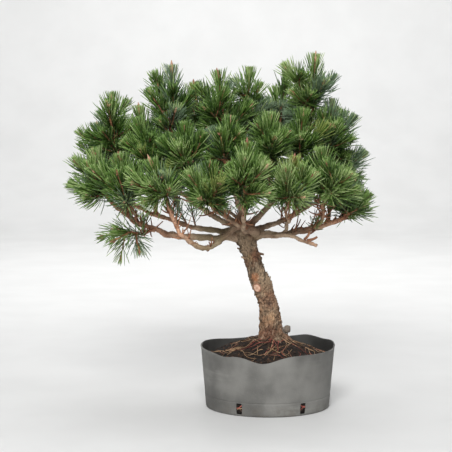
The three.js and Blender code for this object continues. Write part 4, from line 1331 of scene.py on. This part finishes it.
def prongTubes():
    # the fork of the bare stub: two bars with a bow of half a sine
    fork = along(curves["stub"], np.array([0.75, 0.8]))
    share = np.linspace(0, 1, 9)[:, None]
    bow = np.sin(np.pi * share) * np.array([1.2, 0, -0.8])
    paths = fork[:, None] + np.array(twig["prongs"])[:, None] * share + bow
    return tubes(paths, np.array(twig["prongRadii"])[:, None] * (1 - 0.3 * share[:, 0]), 7)


def twigletTubes():
    # bare twigs that leave the boughs any way round, a little up and onward, and curve up by the square
    random = np.random.default_rng(twig["seed"])
    each = [twig["twiglets"] * twig["bushy"].get(name, 1) for name in curves]
    limb = np.repeat(np.arange(len(boughPaths)), each)
    count = len(limb)
    at = random.integers(24, 68, count)
    start = boughPaths[limb, at]
    onward = unit(boughPaths[limb, at + 1] - start) * drawn(random, 0.2, 0.9, count)
    out = unit(onward + unit(random.normal(size=(count, 3))) + up * 0.4)
    stubby = random.random((count, 1)) < twig["stubby"]
    short, long = [drawn(random, *twig[key], count) for key in ("stubbyLength", "length")]
    length = np.where(stubby, short, long)[..., None]
    share = np.linspace(0, 1, 7)[:, None]
    paths = start[:, None] + out[:, None] * length * share + up * length * 0.3 * share ** 2
    paths = paths + 0.9 * share * lumpVectors(paths, 6, 51)
    stout, slim = [drawn(random, *twig[key], count) for key in ("stubbyRadius", "radius")]
    thick = np.where(stubby, stout, slim)
    return tubes(paths, thick * (1 - 0.55 * share[:, 0]), 5)


def makeTwigs(finish):
    # stems, then twigs and shoots, the stub's prongs and the twiglets as one piece
    parts = [stemTubes()] + [shootTubes(kind) for kind in twig["shoots"]] + [prongTubes(), twigletTubes()]
    points, faces = joined(parts)
    buildPiece("twigs", points, faces, [finish])


def twigFinish():
    # two reddish browns, darker between fine scales
    finish = Finish("twigSkin", (130, 82, 58), 0.7)
    broad = finish.noise(70, 3, 0.6)
    fine = finish.noise(700, 3, 0.6)
    red = finish.mix(broad.between(0.36, 0.64), (118, 72, 50), (168, 118, 84))
    scaly = finish.mix(fine.between(0.32, 0.46), (62, 38, 28), red)
    return finish.paint(scaly, 0.6 + fine * 0.25, fine, 0.0005)


makeTwigs(twigFinish())

# Buds: resinous candles at the tips

bud = {
    "kinds": {"planned": (8, 15, 3), "finer": (5, 8, 0), "skirt": (5, 8, 1)},  # height, and how many around
    "width": 2.1,
    "leader": 1.35,  # how much taller the leader's is
    "around": 0.55,  # how tall those around it are
    "profile": np.array([0.7, 1.0, 0.94, 0.6, 0.14]),
    "seed": 83,
}


def makeBuds(finishes):
    # a spindle on every shoot, and smaller ones that lean out round the bud of a full-sized shoot
    random = np.random.default_rng(bud["seed"])
    paths, widths = [], []
    rings, sides = len(bud["profile"]), 6
    share = np.linspace(0, 1, rings)[:, None]
    for kind, (low, high, around) in bud["kinds"].items():
        sprays = gather(masses, kind)
        base = sprays["tip"] - sprays["direction"] * low * 0.75
        for index in range(1 + around):
            lean = unit(sprays["direction"] + (0.75 * unit(random.normal(size=base.shape)) if index else 0))
            height = random.uniform(low, high, (len(base), 1, 1)) * (bud["around"] if index else 1)
            if kind == "planned" and not index:
                height = height * np.where(sprays["leads"], bud["leader"], 1)[:, None, None]
            paths.append(base[:, None] + lean[:, None] * height * share)
            widths.append(bud["width"] * np.minimum(height[:, :, 0], 14) / 10 * bud["profile"])
    paths = np.concatenate(paths)
    points, faces = tubes(paths, np.concatenate(widths), sides)
    kinds = np.arange(len(paths)) % len(finishes)
    buildPiece("buds", points, faces, finishes, dealtFaces(kinds, rings, sides))


def budFinish(name, colour, resin):
    # fine scales of one colour, tipped with resin
    finish = Finish(name, colour, 0.5)
    fine = finish.noise(900, 3, 0.6)
    scaly = finish.mix(fine.between(0.4, 0.6), colour, resin)
    return finish.paint(scaly, 0.4 + fine * 0.3, fine, 0.0003)


makeBuds([budFinish("budRed", (112, 68, 50), (150, 104, 80)),
          budFinish("budTan", (138, 98, 73), (180, 144, 116))])

# Needles

needle = {
    "length": 33.5, "lengths": (0.8, 1.14), "least": 10,  # the usual one, shares of it, and the shortest
    "width": 1.3, "widths": (0.7, 1, 0.85),  # and shares of it at its root, its middle and near its tip
    "parallel": 0.72,  # how far from its middle to its tip a needle keeps its width
    "widest": 54, "closest": 13,  # degrees between needle and shoot, at its foot and at its tip
    "astray": 13, "less": 7,  # by how many degrees they stray at the foot, and how much less at the tip
    "crowded": 0.9,  # below 1, they crowd towards the tip
    "kinds": {"planned": (114, 1.0), "finer": (64, 0.86), "skirt": (32, 0.74)},  # how many, and their size
    "onTwig": 0.85,  # the share of a twig that bears them, below the shoot
    "beyond": 7,  # how far the highest may pass the bud
    "bow": 0.06,  # how far a needle bows, as a share of its length
    "rise": 0.24,  # how much a needle turns upwards, on a shoot that rises
    "clear": 0.4,  # from the skin of a limb
    "sparse": {"left_low": 0.42, "right": 0.75, "low_left": 0.8},  # the share that stands in a thin mass
    "seed": 601,
}

greens = {
    # from the freshest and best lit to the most shaded, as painted light and shade, and two odd ones
    "Fresh": (148, 167, 108), "Light": (120, 146, 80), "Mid": (93, 123, 54), "Deep": (67, 97, 35),
    "Shade": (42, 68, 21), "Grey": (96, 117, 88), "Yellow": (126, 140, 72),
}
greySlot, yellowSlot = [list(greens).index(name) for name in ("Grey", "Yellow")]

tone = {
    "crown": (-65, 10, 370), "crownReach": (240, 190, 160),  # the crown's middle, and its reach each way
    "inside": 4.4, "outwards": 3.0,  # the usual tone at the crown's middle, dark there as painted shade, and how much less at its skin, as painted light
    "finer": 0.3,  # how much darker a finer shoot is, as painted shade inside the crown
    "bySpray": 0.55, "byNeedle": 1.1, "upShoot": 1.6,  # how much it varies
    "greyed": 0.14, "yellowed": 0.04,  # the share that is grey, unless fresh, or yellow, if light
}


def standNeedles(sprays, count, size, random):
    # roots climb the shoot by the golden angle, and needles lean out, wide at its foot and close at its tip
    sprayCount = len(sprays["tip"])
    low = sprays["foot"] + (sprays["from"] - sprays["foot"]) * needle["onTwig"]
    twigRun, green = sprays["foot"] - low, sprays["tip"] - sprays["foot"]
    twigLength, greenLength = [np.linalg.norm(run, axis=-1)[:, None] for run in (twigRun, green)]
    length = twigLength + greenLength
    share = ((np.arange(count) + random.random((sprayCount, count))) / count) ** needle["crowded"]
    run = length * (0.02 + 0.92 * share)
    onGreen = (run > twigLength)[..., None]
    root = np.where(onGreen, sprays["foot"][:, None] + unit(green)[:, None] * (run - twigLength)[..., None],
                    low[:, None] + unit(twigRun)[:, None] * run[..., None])
    direction = unit(unit(green)[:, None] + 0.5 * unit(twigRun)[:, None] * ~onGreen)
    turn = np.arange(count) * goldenAngle + random.uniform(0, 6.3, (sprayCount, 1))
    turn = turn + random.normal(0, 0.3, share.shape)
    angle = needle["widest"] + (needle["closest"] - needle["widest"]) * share ** 0.8
    angle = angle + random.normal(0, 1, share.shape) * (needle["astray"] - needle["less"] * share)
    angle = np.radians(np.clip(angle, 4, 108))
    side = unit(np.cross(direction, np.array([0.3, 1.0, 0.0])))
    front = np.cross(direction, side)
    radial = side * np.cos(turn)[..., None] + front * np.sin(turn)[..., None]
    heading = direction * np.cos(angle)[..., None] + radial * np.sin(angle)[..., None]
    steep = np.clip(2 * green[:, None, 2:] / greenLength[..., None], 0, 1)
    heading = unit(heading + up * needle["rise"] * steep)
    room = (length - run + needle["beyond"]) / np.maximum(np.cos(angle), 0.2)
    reach = needle["length"] * size * random.uniform(*needle["lengths"], share.shape)
    reach = np.minimum(reach, np.maximum(room, needle["least"]))[..., None]
    bow = needle["bow"]
    middle = root + heading * reach * 0.5 + radial * reach * bow * np.sin(angle)[..., None]
    tip = root + heading * reach + direction * reach * bow * 1.6 * np.sin(angle)[..., None]
    return root, middle, tip, share


def clearOfLimbs(root, tip):
    # which needles pass no limb, worked out some thousands at a time
    some = 4000
    free = [clearance(limbBars, root[start:start + some], tip[start:start + some]) > needle["clear"]
            for start in range(0, len(root), some)]
    return np.concatenate(free)


def needleMesh(root, middle, tip):
    # three corners at the root, at the middle and near the tip, all about as wide, and then a short point
    heading = unit(tip - root)
    across = unit(np.cross(heading, np.array([0.37, 0.21, 0.9])))
    corners = spokes(across, np.cross(heading, across), 3) * needle["width"] / 2
    near = middle + (tip - middle) * needle["parallel"]
    rings = [at[:, None] + corners * wide for at, wide in zip((root, middle, near), needle["widths"])]
    points = np.concatenate(rings + [tip[:, None]], 1)
    start = (np.arange(len(root)) * 10)[:, None, None]
    flank = np.array([[0, 1, 4, 3], [1, 2, 5, 4], [2, 0, 3, 5]])
    flanks = start + np.concatenate([flank, flank + 3])
    ends = start + np.array([[6, 7, 9], [7, 8, 9], [8, 6, 9], [0, 2, 1]])
    return points.reshape(-1, 3), [flanks.reshape(-1, 4), ends.reshape(-1, 3)]


def dealGreens(sprays, share, finerShade, random):
    # each needle's place among the greens: painted shade towards the crown's middle and painted light
    # towards its skin, and lighter up its shoot, partly for its younger needles and partly as painted light
    # painted shade and light: darker greens towards the crown's middle, lighter ones towards its skin
    out = np.linalg.norm((sprays["tip"] - tone["crown"]) / tone["crownReach"], axis=-1)
    dark = tone["inside"] - tone["outwards"] * out
    dark = dark + random.normal(0, tone["bySpray"], len(out)) + finerShade
    dark = dark[:, None] + random.normal(0, tone["byNeedle"], share.shape) - tone["upShoot"] * (share - 0.5)
    odd = random.random((len(out), 1)) + 0 * share
    dealt = np.clip(np.round(dark), 0, greySlot - 1)
    dealt = np.where((odd < tone["greyed"]) & (dealt > 0), greySlot, dealt)
    return np.where((odd > 1 - tone["yellowed"]) & (dealt < 3), yellowSlot, dealt)


def makeNeedles(group, names, finishes, seed):
    # the needles of a group of masses, without those that would pass a limb or thin masses leave out
    chosen = [mass for mass in masses if mass["name"] in names]
    random = np.random.default_rng(seed)
    parts = []
    for kind, (count, size) in needle["kinds"].items():
        sprays = gather(chosen, kind)
        root, middle, tip, share = standNeedles(sprays, count, size, random)
        # finer shoots, which grow inside the crown, get darker greens as painted shade
        dealt = dealGreens(sprays, share, tone["finer"] if kind == "finer" else 0, random)
        kept = np.array([needle["sparse"].get(masses[order]["name"], 1) for order in sprays["order"]])
        kept = kept[:, None] + 0 * share
        parts.append([part.reshape(-1, 3) for part in (root, middle, tip)] + [dealt.ravel(), kept.ravel()])
    root, middle, tip, dealt, keep = [np.concatenate(rows) for rows in zip(*parts)]
    free = clearOfLimbs(root, tip) & (random.random(len(root)) < keep)
    points, faces = needleMesh(root[free], middle[free], tip[free])
    dealt = np.concatenate([dealt[free].repeat(6), dealt[free].repeat(4)])
    buildPiece("needles" + group, points, faces, finishes, dealt,
               replaces=["foliage_" + name for name in names])


finishes = [Finish("needle" + name, colour, 0.42).material for name, colour in greens.items()]
for order, (group, names) in enumerate(groups.items()):
    makeNeedles(group, names, finishes, needle["seed"] + order)
print("needles made")

# Floor, light and camera, in metres

studio = {
    "floorFrom": -6, "sweepFrom": 2.9, "sweep": 1.2, "wallTop": 6.0, "halfWidth": 8.0,
    "floorColours": [(212, 212, 211), (209, 209, 208), (214, 214, 213)],
    # place, what it looks at, size, power
    "lights": {"keyLight": ((-0.28, -2.3, 1.6), (-0.05, 0, 0.3), 1.0, 87),
               "topLight": ((-0.1, 0.2, 2.4), (0, 0, 0.3), 1.6, 15),
               "backLight": ((0, 1.5, 2.4), (0, 4.0, 0.3), 2.0, 80)},
    "sky": (238, 240, 243), "skyStrength": 0.29,
    "camera": (-0.063, -2.175, 0.450),
    "down": 4.66,  # degrees below level
    "focalPixels": 1450, "photoWidth": 452, "sensor": 36,
}


def makeFloor():
    # a level floor that sweeps up behind into a wall: a quarter circle between two straight runs
    turn = np.linspace(0, np.pi / 2, 24)
    foot, sweep = studio["sweepFrom"], studio["sweep"]
    back = np.concatenate([[studio["floorFrom"]], foot + sweep * np.sin(turn), [foot + sweep]])[:, None]
    rise = np.concatenate([[0], sweep - sweep * np.cos(turn), [studio["wallTop"]]])[:, None]
    across = np.array([studio["halfWidth"], -studio["halfWidth"]])
    points = np.stack(np.broadcast_arrays(across, back, rise), -1)
    mesh = bpy.data.meshes.new("floor")
    mesh.from_pydata(points.reshape(-1, 3).tolist(), [], gridFaces(len(back), 2, wrap=False).tolist())
    mesh.polygons.foreach_set("use_smooth", np.ones(len(mesh.polygons), bool))
    plain, dark, light = studio["floorColours"]
    finish = Finish("paleFloor", plain, 0.6)
    patchy = finish.noise(6, 3, 0.5)
    colour = finish.mix(patchy.between(0.3, 0.7), dark, light)
    mesh.materials.append(finish.paint(colour, 0.55 + patchy * 0.1))
    addObject("floor", mesh)


def addLight(name, place, aim, size, power):
    # a square soft light that looks at a point
    data = bpy.data.lights.new(name, "AREA")
    data.size = size
    data.energy = power
    light = addObject(name, data)
    light.location = place
    light.rotation_euler = (Vector(place) - Vector(aim)).to_track_quat("Z", "Y").to_euler()


def addCamera():
    # its focal length is in the photo's pixels, on the photo's width
    data = bpy.data.cameras.new("camera")
    data.sensor_width = studio["sensor"]
    data.lens = studio["sensor"] * studio["focalPixels"] / studio["photoWidth"]
    data.clip_end = 50
    camera = addObject("camera", data)
    camera.location = studio["camera"]
    camera.rotation_euler = (np.radians(90 - studio["down"]), 0, 0)
    bpy.context.scene.camera = camera


def addWorld():
    # an even pale sky
    world = bpy.data.worlds.new("studio")
    world.use_nodes = True
    background = world.node_tree.nodes["Background"]
    background.inputs["Color"].default_value = screenColour(studio["sky"])
    background.inputs["Strength"].default_value = studio["skyStrength"]
    bpy.context.scene.world = world


makeFloor()
for name, values in studio["lights"].items():
    addLight(name, *values)
addWorld()
addCamera()
bpy.context.scene.view_settings.view_transform = "Standard"
print("stage set")
